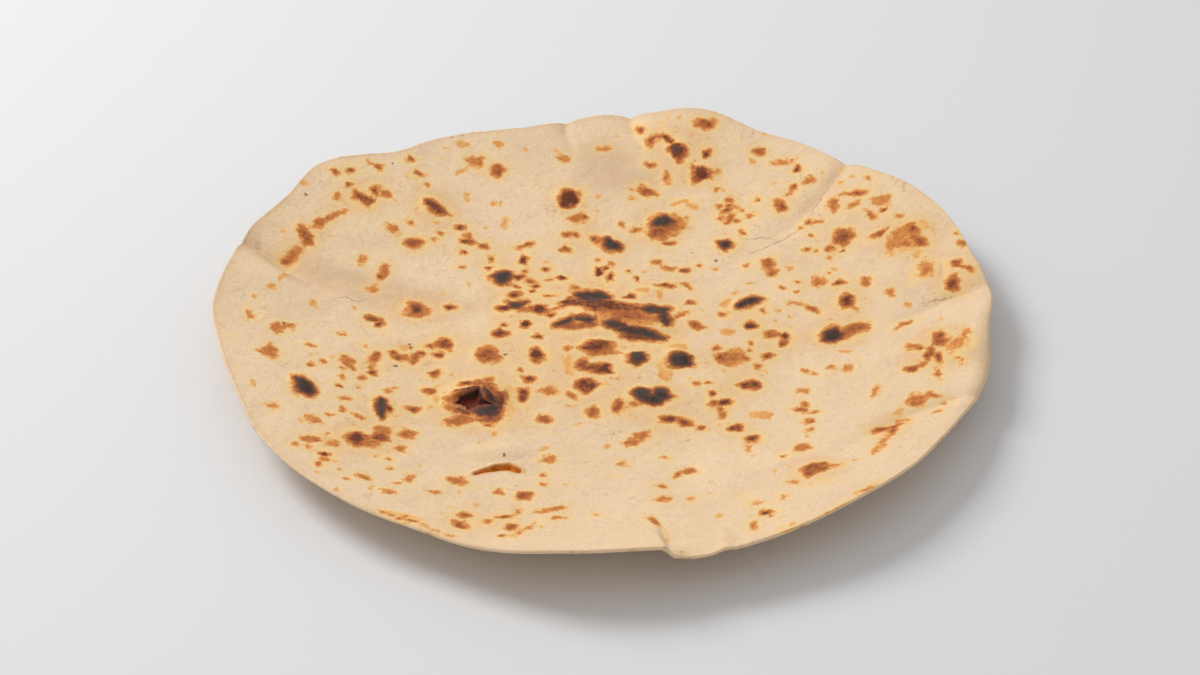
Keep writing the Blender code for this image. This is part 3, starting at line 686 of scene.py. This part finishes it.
DARK_SPOTS = [
    (-105, 38.7, 3), (-103.4, 0.6, 1.6, 1.2, 80), (-86, -62, 3, 2.7), (-82.5, 73.3, 5, 3.3),
    (-74.3, -55, 3, 2.5), (-74, -57.5, 9.5, 7.5, 90), (-73, 35.5, 2.5), (-72, 9.5, 3.3, 2, 70),
    (-71.8, -18, 2), (-67.3, -54.7, 6), (-66.3, 94.8, 2.5, 1.8, -50), (-66, -37.5, 3.7, 3, 90),
    (-66, -4.7, 2, 1.5), (-58, -4.7, 3.6, 2.6), (-52.3, -4.6, 3.7, 2.2, -40), (-49.8, 1.3, 5, 4, -60),
    (-49.3, 22, 3.5), (-48.3, 64.7, 3.5, 2), (-46.3, 52.3, 2.5, 1.4, -40), (-45, 57.7, 5.5, 3, -15),
    (-42.5, -20.7, 6, 4, -20), (-40, -102.5, 6.5, 3.6, -55), (-40, -96, 2.3, 1.8),
    (-32.3, 7.9, 6, 4.7, 30), (-31.5, -30, 13, 5, 85), (-31, 12.7, 1.8), (-28.3, 30.3, 4.5, 4),
    (-28, 35.3, 2.2, 2), (-27.5, 40.3, 5, 3), (-25.7, 44, 2.2, 2), (-25.5, -103.3, 5, 3.3, 75),
    (-24.3, -25.3, 7.5, 3.5, 90), (-22.7, 32.3, 2.2, 2), (-22.3, -16.7, 4.7, 4.2),
    (-20.3, 6.7, 2.7, 2.5), (-17, 30, 3.5, 1), (-10, 25, 6, 3, 20), (-5.7, 74.3, 3, 2.5, 30),
    (-4, -19.5, 8.5, 7, 90), (-3, 32, 12, 4, 5), (-1.5, -10, 9.5, 5.5, -5), (-0.7, 1.5, 11, 7.5, 10),
    (0, 24.3, 27, 5, -4), (2, 46.3, 2), (7.7, 16.7, 6, 3), (9, 19.5, 9, 2.5, -14), (9, 45, 1.5),
    (10, 30, 4, 3), (13, 6.5, 14, 3, -8), (14, 22, 10, 4, -5), (19.8, 67.6, 8.5, 9.5),
    (22, 37.3, 6.5, 2.5), (22.5, -36.3, 7, 3.5, 10), (24, 110.5, 2.5, 2), (27, -38.5, 6, 3, -35),
    (28.3, 45.7, 3.5, 3), (32.5, 98.5, 4, 1.5, -50), (35.7, -22.7, 3.6, 2.8, 90), (36, -28.3, 3.2, 2.6),
    (36.3, 104.7, 4.5, 2.5, 60), (40, -27.5, 5, 3.5, 35), (43, -3.5, 1.6, 1.5), (43.5, -42, 5, 4.5),
    (48, 64.7, 2.5, 2, 90), (48.2, -48, 4.5, 4.3, 90), (48.2, -18.3, 7.7, 5, -5), (50.3, -93.3, 3),
    (53.3, 81.5, 1.3), (60.3, 4.7, 3.5, 3, 90), (60.7, 8, 4, 3.5, 90), (67.6, 94.7, 3.2, 3),
    (70.7, 67, 3, 2, 90), (81.7, 25, 7.5, 5.5, 80), (104.3, 55.3, 3, 2.5), (106.8, 49.5, 4.5, 3.4),
    (110, -3.5, 5, 3.3, 90),
]
MAROON_SPOTS = [
    (-83, -69.7, 3, 2.7, 90), (-73.7, -57.5, 6, 5.2, 20), (-60.5, 20, 6.5, 4.5, 90),
    (-57, 73, 10, 5.5, -40), (-37.3, 45.3, 2.2, 2), (-33.2, -31.5, 7), (-31.8, -33, 5, 9),
    (-31.5, 23, 5, 3, 20), (-31, 22.3, 4, 1.5, 35), (-26, 50, 4.5, 3, 90), (-24.3, 13.3, 3.5),
    (-21.3, 35.7, 2.5, 2), (-20.3, -3.7, 9, 4.3, -85), (-20, 22, 5.3, 5), (-16.3, 18.7, 2.5, 2),
    (-13, 40.3, 3), (-11.5, 83.3, 10, 7, 85), (-10.5, 25.8, 7, 3.4, 12), (-4.3, -18, 4.7, 4, 90),
    (-3.5, 0.6, 6, 3.7, 10), (-1.5, 25.3, 14, 5, -6), (-1.2, 1.2, 9, 5.6, 8), (-0.7, 44.3, 4.5, 2, 90),
    (1.7, -10.3, 6), (2, 21.5, 17, 6, -10), (3, 23.5, 22, 6.5, -8), (3.3, 41.7, 4.5, 2, 90),
    (15, 24, 4, 1.3, 20), (22.3, 112.2, 6, 2.7, -38), (26.3, 105.5, 8.5, 6.5, -45),
    (34.5, 95, 7.5, 6.5, 90), (39.7, -3, 5.5, 3, 80), (49.7, 14.7, 4.5, 4), (81.7, 26, 3, 2, 80),
    (102.8, -6, 2.5, 1.7, -50), (104.8, 56.2, 3.4, 4.4, 20), (116.1, 26.5, 4.4, 3.4, 90),
]
CHAR_SPOTS = [
    (-92.6, -32.5, 11.4, 6, -60), (-68.3, -37.3, 12, 3.4, -84), (-60.5, 19.5, 3.4, 2.4, 90),
    (-57.5, 73.6, 5, 2.4, -40), (-42.5, -35.5, 5, 1.6, -30), (-41.2, -27, 10, 3.6, -10),
    (-35.2, -33.8, 8.5, 8), (-34.6, -29, 7.5, 4.4, -45), (-33, 39.5, 7.2, 6.7, 90),
    (-28, 24.3, 5.7, 4.5), (-25.5, 25.5, 4, 1.5, 25), (-11.7, 14.5, 8, 3.7, 40), (-5, 15.5, 8, 3.5, -12),
    (-2.3, 29.3, 12, 8.2, -4), (3.5, 59, 8, 5.4, -40), (5, 12.8, 9, 3.8, -19), (12, 9, 15, 4.7, -15),
    (12.3, -4.3, 6.7, 5.7, 70), (13.7, -24.3, 7.5, 5.7, 90), (17, -26.7, 9, 5), (18.5, 7.2, 7, 2.4, -5),
    (18.5, 22.3, 10, 6), (20, -24.3, 7, 6, 80), (21, 71.5, 7.6, 6.8), (21.3, 17, 8, 4, -75),
    (26, -5.5, 8.3, 7.7), (26, 105.8, 5, 3.7, -45), (41.7, 59, 4.7, 4.5), (49.5, 27.5, 10, 4.5, 35),
    (74, 5.5, 3, 2, 30), (75.7, 7.3, 7.6, 6.6, 55),
]
DOTS = [
    (-49.7, 110.5), (-53, 108.3), (-72.5, 91.9), (-101, 69.3), (-61.3, 0.3), (-60.3, -1.7), (-102, 1.5),
    (-28.9, -58.7), (-65, -12.7), (30, -3.3), (39, 51), (-12.5, 15.5), (31, 56), (-30.3, -3.4),
]

# How deeply each group is toasted
SPOT_GROUPS = {
    0.18: ORANGE_SPOTS,
    0.4: RUSSET_SPOTS,
    0.68: BROWN_SPOTS,
    0.86: DARK_SPOTS,
    1.1: MAROON_SPOTS,
}

# The dots' size, the toasted skirt round each charred spot, and how softly the pale marks and the
# painted shade end
DOT_SIZE = 1.2
CHAR_SKIRT = 1.5
SKIRT_DEPTH = 0.72
SOFT_EDGES = {"yellow": 2.0, "painted_shade": 6.0, "golden": 1.3}

# Each spot has its own lobes: how many go round it, and how deep they are
SPOT_LOBES = {2: 0.05, 3: 0.08, 4: 0.05, 5: 0.04, 7: 0.03}

# All marks are shifted, and pulled to and fro by noise: its lengths, and how far each pulls
MARK_SHIFT = -0.4
MARK_PULL = {5.0: 0.9, 2.3: 0.6}
MARK_SEED_POINTS = (Vector((1.5, 7.7, 2.2)), Vector((6.1, 0.7, 9.4)))

# How far a spot tans the crumb round it, and the area from which it does so in full
ZONE_REACH = 8.0
ZONE_AREA = 40.0

# How far a spot's depth of toast reaches, how fast it fades, and where it stops changing
DEPTH_REACH = 5.0
DEPTH_FADE = 0.45
DEPTH_RANGE = (-6.0, 1.2)
FAR_AWAY = -9.0


def whole_spot(x, y, length, width=None, turn=0):
    """A mark with all its five numbers."""
    return x, y, length, width or length, turn


def in_full(spots):
    """All marks of a group with their five numbers."""
    return [whole_spot(*spot) for spot in spots]


def spot_edge(x, y, spot):
    """Distance inside the edge of a lobed ellipse, in millimetres, and minus outside it."""
    along, across = ellipse_parts(x, y, *spot)
    half_length, half_width = spot[2] / 2, spot[3] / 2
    around = np.arctan2(across, along)
    lobes = np.ones_like(along)
    for number, (count, depth) in enumerate(SPOT_LOBES.items()):
        lobes += depth * np.cos(count * around + spot[0] * (2.3 + number) + spot[1] * 1.7)
    reach = np.hypot(along, across) + 1e-6
    slope = np.hypot(along / half_length, across / half_width) + 1e-6
    inside = reach * (1.0 - reach / lobes) / slope
    return np.clip(inside, FAR_AWAY, min(half_length, half_width))


def near(x, y, spot, margin):
    """Which points are close enough to a spot for it to matter."""
    reach = spot[2] / 2 + margin
    return np.flatnonzero((np.abs(x - spot[0]) < reach) & (np.abs(y - spot[1]) < reach))


def soft_spots(x, y, spots, edge):
    """How much of a soft mark lies on each point, from 0 to 1."""
    amount = np.zeros_like(x)
    for spot in spots:
        picked = near(x, y, spot, 2 * edge)
        inside = spot_edge(x[picked], y[picked], spot)
        amount[picked] = np.maximum(amount[picked], smooth_step(inside, -edge, edge))
    return amount


def edge_of_spots(x, y, spots):
    """Distance inside the nearest spot's edge."""
    inside = np.full_like(x, FAR_AWAY)
    for spot in spots:
        picked = near(x, y, spot, -FAR_AWAY)
        inside[picked] = np.maximum(inside[picked], spot_edge(x[picked], y[picked], spot))
    return inside


def core_of_spots(x, y, groups):
    """How near each point is to the middle of a spot: 1 there, 0 at the edge."""
    core = np.zeros_like(x)
    for spots in groups.values():
        for spot in spots:
            picked = near(x, y, spot, 0.0)
            along, across = ellipse_parts(x[picked], y[picked], *spot)
            core[picked] = np.maximum(core[picked], 1.0 - along**2 - across**2)
    return core


def toast_depth(x, y, groups):
    """How deep the toast is round each point: a mean of the groups, weighted by nearness."""
    total = np.full_like(x, 1e-6)
    depth = np.zeros_like(x)
    for strength, spots in groups.items():
        for spot in spots:
            picked = near(x, y, spot, DEPTH_REACH)
            inside = spot_edge(x[picked], y[picked], spot)
            weight = np.exp(np.clip(inside, *DEPTH_RANGE) / DEPTH_FADE) * (0.3 + strength)
            total[picked] += weight
            depth[picked] += weight * strength
    return depth / total


def warped(x, y):
    """The plan pulled a little to and fro, so that no mark keeps a smooth outline."""
    new_x, new_y = x.copy(), y - MARK_SHIFT
    for length, amount in MARK_PULL.items():
        new_x += amount * noise_at(x, y, length, MARK_SEED_POINTS[0])
        new_y += amount * noise_at(x, y, length, MARK_SEED_POINTS[1])
    return new_x, new_y


def toasted_zone(x, y, groups):
    """How thickly the marks lie round each point, from 0 to 1."""
    zone = np.zeros_like(x)
    for strength, spots in groups.items():
        for spot in spots:
            picked = near(x, y, spot, 2 * ZONE_REACH)
            distance = np.hypot(x[picked] - spot[0], y[picked] - spot[1])
            area = min(spot[2] * spot[3], ZONE_AREA) / ZONE_AREA
            zone[picked] += strength * area * bump(distance, ZONE_REACH)
    return np.clip(zone, 0.0, 1.0)


mark_x, mark_y = warped(plan_x, plan_y)
charred = in_full(CHAR_SPOTS)
toasted = {depth: in_full(spots) for depth, spots in SPOT_GROUPS.items()}
toasted[SKIRT_DEPTH] = [
    (x, y, length + CHAR_SKIRT, width + CHAR_SKIRT, turn) for x, y, length, width, turn in charred
]
all_toasted = [spot for spots in toasted.values() for spot in spots]
hairline, hairline_strength = hairline_parts(plan_x, plan_y)
marks = {
    "yellow": soft_spots(mark_x, mark_y, in_full(YELLOW_SPOTS), SOFT_EDGES["yellow"]),
    # painted shade in the folds and hollows
    "painted_shade": soft_spots(mark_x, mark_y, in_full(PAINTED_SHADE_PATCHES), SOFT_EDGES["painted_shade"]),
    "golden": soft_spots(mark_x, mark_y, in_full(GOLDEN_SPOTS), SOFT_EDGES["golden"]),
    "toast": edge_of_spots(mark_x, mark_y, all_toasted),
    "depth": toast_depth(mark_x, mark_y, toasted),
    "core": core_of_spots(mark_x, mark_y, toasted),
    "zone": toasted_zone(mark_x, mark_y, toasted),
    "char": edge_of_spots(mark_x, mark_y, charred),
    "dots": edge_of_spots(mark_x, mark_y, in_full([(x, y, DOT_SIZE) for x, y in DOTS])),
    "burst": burst_reach(plan_x, plan_y),
    "tear": tear_reach(plan_x, plan_y)[0],
    "hairline": hairline,
    "hairline_strength": hairline_strength,
    "rim": edge_radius(direction(plan_x, plan_y)) - np.hypot(plan_x, plan_y),
    "top": smooth_step(sides, *TOP_SIDES),
}
for name, values in marks.items():
    layer = bread_data.attributes.new(name, "FLOAT", "POINT")
    layer.data.foreach_set("value", np.asarray(values, np.float32))


# The look of the bread. Matt floury crumb of wheat dough, with toast marks that run from gold
# to char, an open burst and tear, and a browned underside. All patterns are noise in the
# bread's own millimetres and the marks above. Colours are given as they look on a screen.
SHADES = {
    "crumb": (232, 200, 160),
    "light crumb": (240, 210, 172),
    "greyish crumb": (220, 190, 162),
    "pinkish crumb": (212, 176, 150),
    "dark grain": (221, 181, 144),
    "light grain": (249, 227, 194),
    "crease": (170, 132, 104),
    "hairline": (156, 102, 76),
    # painted shade of the folds and hollows, partly a less floury crumb
    "painted fold shade": (206, 168, 132),
    "baked haze": (228, 180, 124),
    "pale freckle": (236, 184, 114),
    "brown freckle": (204, 126, 66),
    "yellow": (243, 203, 136),
    "golden skirt": (243, 198, 126),
    "golden": (224, 148, 76),
    "halo": (245, 206, 136),
    "pale toast": (236, 178, 106),
    "orange toast": (214, 136, 70),
    "russet toast": (187, 110, 58),
    "brown toast": (152, 84, 50),
    "darkest toast": (98, 54, 38),
    "char skirt": (110, 64, 44),
    "soot": (50, 34, 28),
    # grey of the char, partly a painted sheen
    "grey soot with painted sheen": (74, 70, 66),
    "maroon soot": (98, 58, 52),
    "ash": (132, 96, 70),
    "speck": (170, 98, 52),
    "dot": (84, 60, 44),
    "scorch": (140, 78, 50),
    "deep hollow": (124, 52, 36),
    "hollow": (62, 36, 30),
    "tear side": (222, 160, 88),
    # painted light that shines through the thin bread into the tear
    "deep light in the tear": (176, 92, 20),
    "tear": (222, 136, 44),
    "pore": (128, 88, 62),
    "warm rim": (222, 172, 126),
    "brown underside": (186, 112, 60),
    "dark underside": (92, 58, 42),
}

# Where each shade of toast starts and ends as the heat rises, and how strongly it covers
TOAST_STEPS = {
    "pale toast": (0.05, 0.22, 0.8),
    "orange toast": (0.18, 0.38, 0.9),
    "russet toast": (0.38, 0.68, 0.95),
    "brown toast": (0.66, 0.92, 0.95),
    "darkest toast": (0.86, 1.04, 0.9),
}
SCREEN_GAMMA = 2.2
PORE_SPACING = 6.5
SHINE = 0.3
RELIEF_STRENGTH = 0.5
RELIEF_HEIGHT = 0.4 * MM

# The Mix node's sockets for colours
MIX_AMOUNT, MIX_BELOW, MIX_ABOVE, MIX_COLOUR = 0, 6, 7, 2


class Wire:
    """One output in the shader. Each operator adds the Math node that does the sum."""

    def __init__(self, tree, output):
        self.tree = tree
        self.output = output

    def add(self, kind, settings, sockets, output=0):
        """Adds a node of any kind: its settings first, then its sockets."""
        node = self.tree.nodes.new(kind)
        for name, value in settings.items():
            setattr(node, name, value)
        for name, value in sockets.items():
            if isinstance(value, Wire):
                self.tree.links.new(value.output, node.inputs[name])
            else:
                node.inputs[name].default_value = value
        return Wire(self.tree, node.outputs[output])

    def math(self, operation, *values):
        """Adds a Math node."""
        return self.add("ShaderNodeMath", {"operation": operation}, dict(enumerate(values)))

    def __add__(self, other):
        return self.math("ADD", self, other)

    __radd__ = __add__

    def __sub__(self, other):
        return self.math("SUBTRACT", self, other)

    def __rsub__(self, other):
        return self.math("SUBTRACT", other, self)

    def __mul__(self, other):
        return self.math("MULTIPLY", self, other)

    __rmul__ = __mul__

    def __abs__(self):
        return self.math("ABSOLUTE", self)

    def step(self, start, end):
        """0 before start, 1 after end, and a smooth change between them."""
        sockets = {"Value": self, "From Min": start, "From Max": end}
        return self.add("ShaderNodeMapRange", {"interpolation_type": "SMOOTHSTEP"}, sockets)

    def paint(self, below, above):
        """A colour: below where this wire is 0, above where it is 1."""
        sockets = {MIX_AMOUNT: self, MIX_BELOW: shade(below), MIX_ABOVE: shade(above)}
        return self.add("ShaderNodeMix", {"data_type": "RGBA"}, sockets, MIX_COLOUR)


def shade(colour):
    """A named shade as the shader needs it; a colour that is a wire stays one."""
    if isinstance(colour, Wire):
        return colour
    return (*[(value / 255) ** SCREEN_GAMMA for value in SHADES[colour]], 1.0)


toasted_bread = bpy.data.materials.new("chapati_toasted")
toasted_bread.use_nodes = True
tree = toasted_bread.node_tree
shader = tree.nodes["Principled BSDF"]
start = Wire(tree, None)
place = start.add(
    "ShaderNodeVectorMath",
    {"operation": "SCALE"},
    {0: start.add("ShaderNodeTexCoord", {}, {}, "Object"), "Scale": 1 / MM},
)


def mark(name):
    """One of the bread's marks, as the shader reads it."""
    return start.add("ShaderNodeAttribute", {"attribute_name": name}, {}, "Fac")


def cloud(length, detail=2.0, roughness=0.5, bend=0.0):
    """Noise from about -1 to 1, with hills about one length wide in millimetres."""
    sockets = {"Vector": place, "Scale": 1 / length, "Detail": detail}
    sockets.update({"Roughness": roughness, "Distortion": bend})
    return (start.add("ShaderNodeTexNoise", {}, sockets) - 0.5) * 2.0


top = mark("top")
zone = mark("zone") * top
depth = mark("depth")
broad = cloud(24.0, 3.0)
patches = cloud(7.0, 3.0, 0.6, 0.6)
ragged = cloud(2.4, 3.0, 0.6)
grain = cloud(1.6, 3.0, 0.6)
fine = cloud(0.7, 2.0, 0.6)
char = mark("char") + ragged * 0.6 + grain * 0.5 + fine * 0.3


def floury_crumb():
    """The plain dough: pale, with greyish and pinkish patches and a fine grain."""
    crumb = (broad * 1.2 + patches * 0.8).step(-0.9, 0.9).paint("crumb", "light crumb")
    greyish = (patches * 1.5 - broad * 0.6 + grain * 0.4).step(0.0, 0.7) * 0.5
    crumb = greyish.paint(crumb, "greyish crumb")
    pinkish = (cloud(4.2, 4.0, 0.7, 0.8) + broad * 0.5).step(0.1, 0.6) * 0.32
    crumb = pinkish.paint(crumb, "pinkish crumb")
    crumb = ((grain + fine * 0.9).step(0.1, 0.7) * 0.52).paint(crumb, "dark grain")
    return ((fine * 0.8 - grain).step(0.15, 0.7) * 0.5).paint(crumb, "light grain")


def cracks(crumb):
    """Short creases of the drying skin, and the hairline cracks."""
    level = cloud(7.0, 3.0, 0.5, 0.6)
    crease = (0.05 - abs(level)).step(0.0, 0.04)
    broken = (cloud(12.0, 3.0) + grain * 0.35).step(0.1, 0.45)
    crumb = (crease * broken * 0.45).paint(crumb, "crease")
    line = abs(mark("hairline") + ragged * 1.1 + fine * 0.3)
    line = (0.34 - line).step(0.0, 0.26) * mark("hairline_strength") * top
    return (line * (0.75 + patches * 0.5)).paint(crumb, "hairline")


def freckles(crumb):
    """Painted shade in the folds and hollows, partly a less floury crumb, and a haze and freckles that
    are thickest among the marks.
    """
    # The painted shade of the folds and hollows goes on first
    crumb = (mark("painted_shade") * (0.55 + patches * 0.3) * top).paint(crumb, "painted fold shade")
    haze = (zone + patches * 0.45 + ragged * 0.35).step(0.1, 0.95) * 0.5
    crumb = haze.paint(crumb, "baked haze")
    freckle = cloud(2.9, 2.0, 0.7) + fine * 0.25 + zone * 0.28
    crumb = (freckle.step(0.30, 0.62) * 0.5).paint(crumb, "pale freckle")
    return (freckle.step(0.50, 0.75) * 0.7 * zone.step(0.1, 0.5)).paint(crumb, "brown freckle")


def golden_marks(crumb):
    """Soft yellow patches, and golden marks with pale skirts."""
    yellow = (mark("yellow") * (1.0 + ragged * 0.7)).step(0.05, 0.9) * top
    crumb = (yellow * 0.55).paint(crumb, "yellow")
    golden = (mark("golden") + ragged * 0.35 + grain * 0.3).step(0.1, 1.15) * top
    crumb = (golden.step(0.0, 0.5) * 0.65).paint(crumb, "golden skirt")
    blotchy = 0.78 + ragged * 0.6 + patches * 0.35 + grain * 0.3
    return (golden.step(0.25, 1.0) * blotchy).paint(crumb, "golden")


def toast_marks(crumb):
    """Toasted spots with a yellow halo, ragged edges and a deeper shade inwards."""
    edge = mark("toast")
    halo = (edge + ragged * 2.0 + patches * 1.6 + grain * 0.8).step(-4.0, 0.0)
    crumb = (halo * (0.3 + depth * 0.6) * top * 0.85).paint(crumb, "halo")
    toast = edge + ragged * 0.85 + grain * 0.45 + fine * 0.3
    inner = (mark("core") + grain * 0.3 + ragged * 0.3).step(-0.1, 1.0)
    heat = (toast.step(-1.5, 0.9) * 0.62 + inner * 0.38) * (0.34 + depth * 0.72)
    uneven = patches * 0.10 + ragged * 0.14 + grain * 0.2 + fine * 0.1
    uneven = toast.step(-1.0, 0.6) * uneven * (1.65 - depth * 0.7)
    heat = (heat + uneven + (ragged + fine + grain) * 0.05) * top
    for name, (low, high, cover) in TOAST_STEPS.items():
        crumb = (heat.step(low, high) * cover).paint(crumb, name)
    return crumb


def char_marks(crumb):
    """Black blisters with brown skirts and blotches of soot and ash, with grey patches that are partly a
    painted sheen, then specks and dots.
    """
    crumb = (char.step(-0.9, 0.9) * 0.85 * top).paint(crumb, "char skirt")
    # The soot's grey patches are partly a painted sheen on the char
    soot = (patches + grain * 0.5 + ragged * 0.6).step(-0.7, 0.7).paint("soot", "grey soot with painted sheen")
    blotch = (cloud(3.2, 3.0, 0.6) + grain * 0.4).step(0.0, 0.4) * 0.6
    soot = blotch.paint(soot, "maroon soot")
    soot = ((fine * 0.7 + grain * 0.5).step(0.3, 0.7) * 0.5).paint(soot, "ash")
    crumb = (char.step(0.2, 1.8) * 0.93 * top).paint(crumb, soot)
    specks = (fine + grain * 0.5).step(0.30, 0.5) * zone.step(0.05, 0.5)
    specks = specks * (ragged + patches).step(0.0, 0.4)
    crumb = (specks * 0.6).paint(crumb, "speck")
    dots = mark("dots") + fine * 0.15
    return (dots.step(-0.3, 0.1) * 0.75 * top).paint(crumb, "dot")


def openings(crumb):
    """The scorched skin round the burst and its dark red inside, and the tear, whose golden orange
    inside is painted light that shines through the bread.
    """
    burst = mark("burst") + ragged * 0.3
    scorch = (2.2 - burst + ragged * 1.2 + patches * 0.8).step(-0.6, 1.4) * 0.8
    crumb = (scorch * top).paint(crumb, "scorch")
    hollow = (burst + ragged + 0.9).step(-0.3, 0.9).paint("deep hollow", "hollow")
    crumb = ((0.6 - burst).step(-0.4, 0.4) * top).paint(crumb, hollow)
    tear = mark("tear")
    side = (1.0 - tear + ragged * 0.3).step(-0.6, 0.6) * 0.6 * top
    crumb = side.paint(crumb, "tear side")
    # The slot's orange is painted light that shines through the thin bread into it
    slot = (grain + ragged).step(-0.6, 0.6).paint("deep light in the tear", "tear")
    return ((0.1 - tear).step(-0.3, 0.4) * top).paint(crumb, slot)


def pores(crumb):
    """Pinholes of the dough, and a slightly warmer rim."""
    sockets = {"Vector": place, "Scale": 1 / PORE_SPACING, "Randomness": 1.0}
    away = start.add("ShaderNodeTexVoronoi", {"feature": "F1"}, sockets)
    pore = (0.055 - away + fine * 0.012).step(0.0, 0.03) * cloud(9.0).step(-0.05, 0.3)
    crumb = (pore * 0.55).paint(crumb, "pore")
    rim = (4.5 - mark("rim") + ragged * 1.2).step(0.0, 4.0)
    return (rim * 0.12).paint(crumb, "warm rim")


def underside(crumb):
    """Broad brown and dark patches where the underside lay on the griddle."""
    below = 1.0 - top
    griddle = cloud(13.0, 4.0, 0.65, 0.4)
    brown = (griddle + grain * 0.12).step(0.12, 0.34)
    crumb = (brown * below * 0.85).paint(crumb, "brown underside")
    dark = (griddle + grain * 0.16).step(0.34, 0.52)
    return (dark * below * 0.9).paint(crumb, "dark underside")


crumb = floury_crumb()
for finish in (cracks, freckles, golden_marks, toast_marks, char_marks, openings, pores, underside):
    crumb = finish(crumb)
tree.links.new(crumb.output, shader.inputs["Base Color"])
rough = 0.86 - char.step(-0.4, 0.5) * top * 0.2 - fine * 0.05
tree.links.new(rough.output, shader.inputs["Roughness"])
shader.inputs["Specular IOR Level"].default_value = SHINE
skin = grain * 0.5 + fine * 0.35 + patches * 0.6
relief = {"Strength": RELIEF_STRENGTH, "Distance": RELIEF_HEIGHT, "Height": skin}
tree.links.new(start.add("ShaderNodeBump", {}, relief).output, shader.inputs["Normal"])
bread_data.materials.append(toasted_bread)
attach(bread, "root")
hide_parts("chapati")

# The floor. A wide matt sheet of pale paper, which lies flat a tenth of a millimetre under the
# bread and reaches past the picture on all sides.
FLOOR_HALF = 1.5
FLOOR_DROP = 0.0001
FLOOR_COLOUR = (0.76, 0.76, 0.765, 1.0)
FLOOR_ROUGHNESS = 0.9
floor_mesh = bmesh.new()
corners = [(-1, -1), (1, -1), (1, 1), (-1, 1)]
floor_mesh.faces.new(
    [floor_mesh.verts.new((x * FLOOR_HALF, y * FLOOR_HALF, -FLOOR_DROP)) for x, y in corners]
)
floor_data = bpy.data.meshes.new("floor")
floor_mesh.to_mesh(floor_data)
floor_mesh.free()
floor = bpy.data.objects.new("floor", floor_data)
bpy.context.scene.collection.objects.link(floor)
paper = bpy.data.materials.new("pale_paper")
paper.use_nodes = True
paper_shader = paper.node_tree.nodes["Principled BSDF"]
paper_shader.inputs["Base Color"].default_value = FLOOR_COLOUR
paper_shader.inputs["Roughness"].default_value = FLOOR_ROUGHNESS
floor_data.materials.append(paper)

# The light. One large soft lamp from behind on the left, as from a window, and a plain white
# room that fills the shadows.
KEY_PLACE = Vector((-1.0, 0.55, 1.1))
KEY_POWER = 16.0
KEY_SIZE = 0.7
ROOM_STRENGTH = 0.55
key_data = bpy.data.lights.new("window", "AREA")
key_data.energy = KEY_POWER
key_data.size = KEY_SIZE
key = bpy.data.objects.new("window", key_data)
key.location = KEY_PLACE
key.rotation_euler = (-KEY_PLACE).to_track_quat("-Z", "Y").to_euler()
bpy.context.scene.collection.objects.link(key)
room = bpy.data.worlds.new("room")
room.use_nodes = True
backdrop = room.node_tree.nodes["Background"]
backdrop.inputs["Color"].default_value = (1.0, 1.0, 1.0, 1.0)
backdrop.inputs["Strength"].default_value = ROOM_STRENGTH
bpy.context.scene.world = room
bpy.context.scene.view_settings.view_transform = "Standard"

# The camera. It looks along +Y, down onto the bread, from one metre away, with a slight lean,
# at a point in the middle of the picture that is given in the bread's own millimetres.
CAMERA_TILT = math.radians(35.69)
CAMERA_LEAN = math.radians(0.961)
CAMERA_AIM = Vector((0.16, -1.8, 8.0))
CAMERA_DISTANCE = 1.0
CAMERA_LENS = 92.98
CAMERA_SENSOR = 36.0
back = Vector((0.0, -math.cos(CAMERA_TILT), math.sin(CAMERA_TILT)))
level_right = Vector((1.0, 0.0, 0.0))
level_up = level_right.cross(-back)
right = level_right * math.cos(CAMERA_LEAN) + level_up * math.sin(CAMERA_LEAN)
camera_data = bpy.data.cameras.new("camera")
camera_data.lens = CAMERA_LENS
camera_data.sensor_width = CAMERA_SENSOR
camera = bpy.data.objects.new("camera", camera_data)
target = (CAMERA_AIM - Vector((middle_x, middle_y, 0.0))) * MM
turned = Matrix((right, back.cross(right), back)).transposed().to_4x4()
camera.matrix_world = Matrix.Translation(target + back * CAMERA_DISTANCE) @ turned
bpy.context.scene.collection.objects.link(camera)
bpy.context.scene.camera = camera
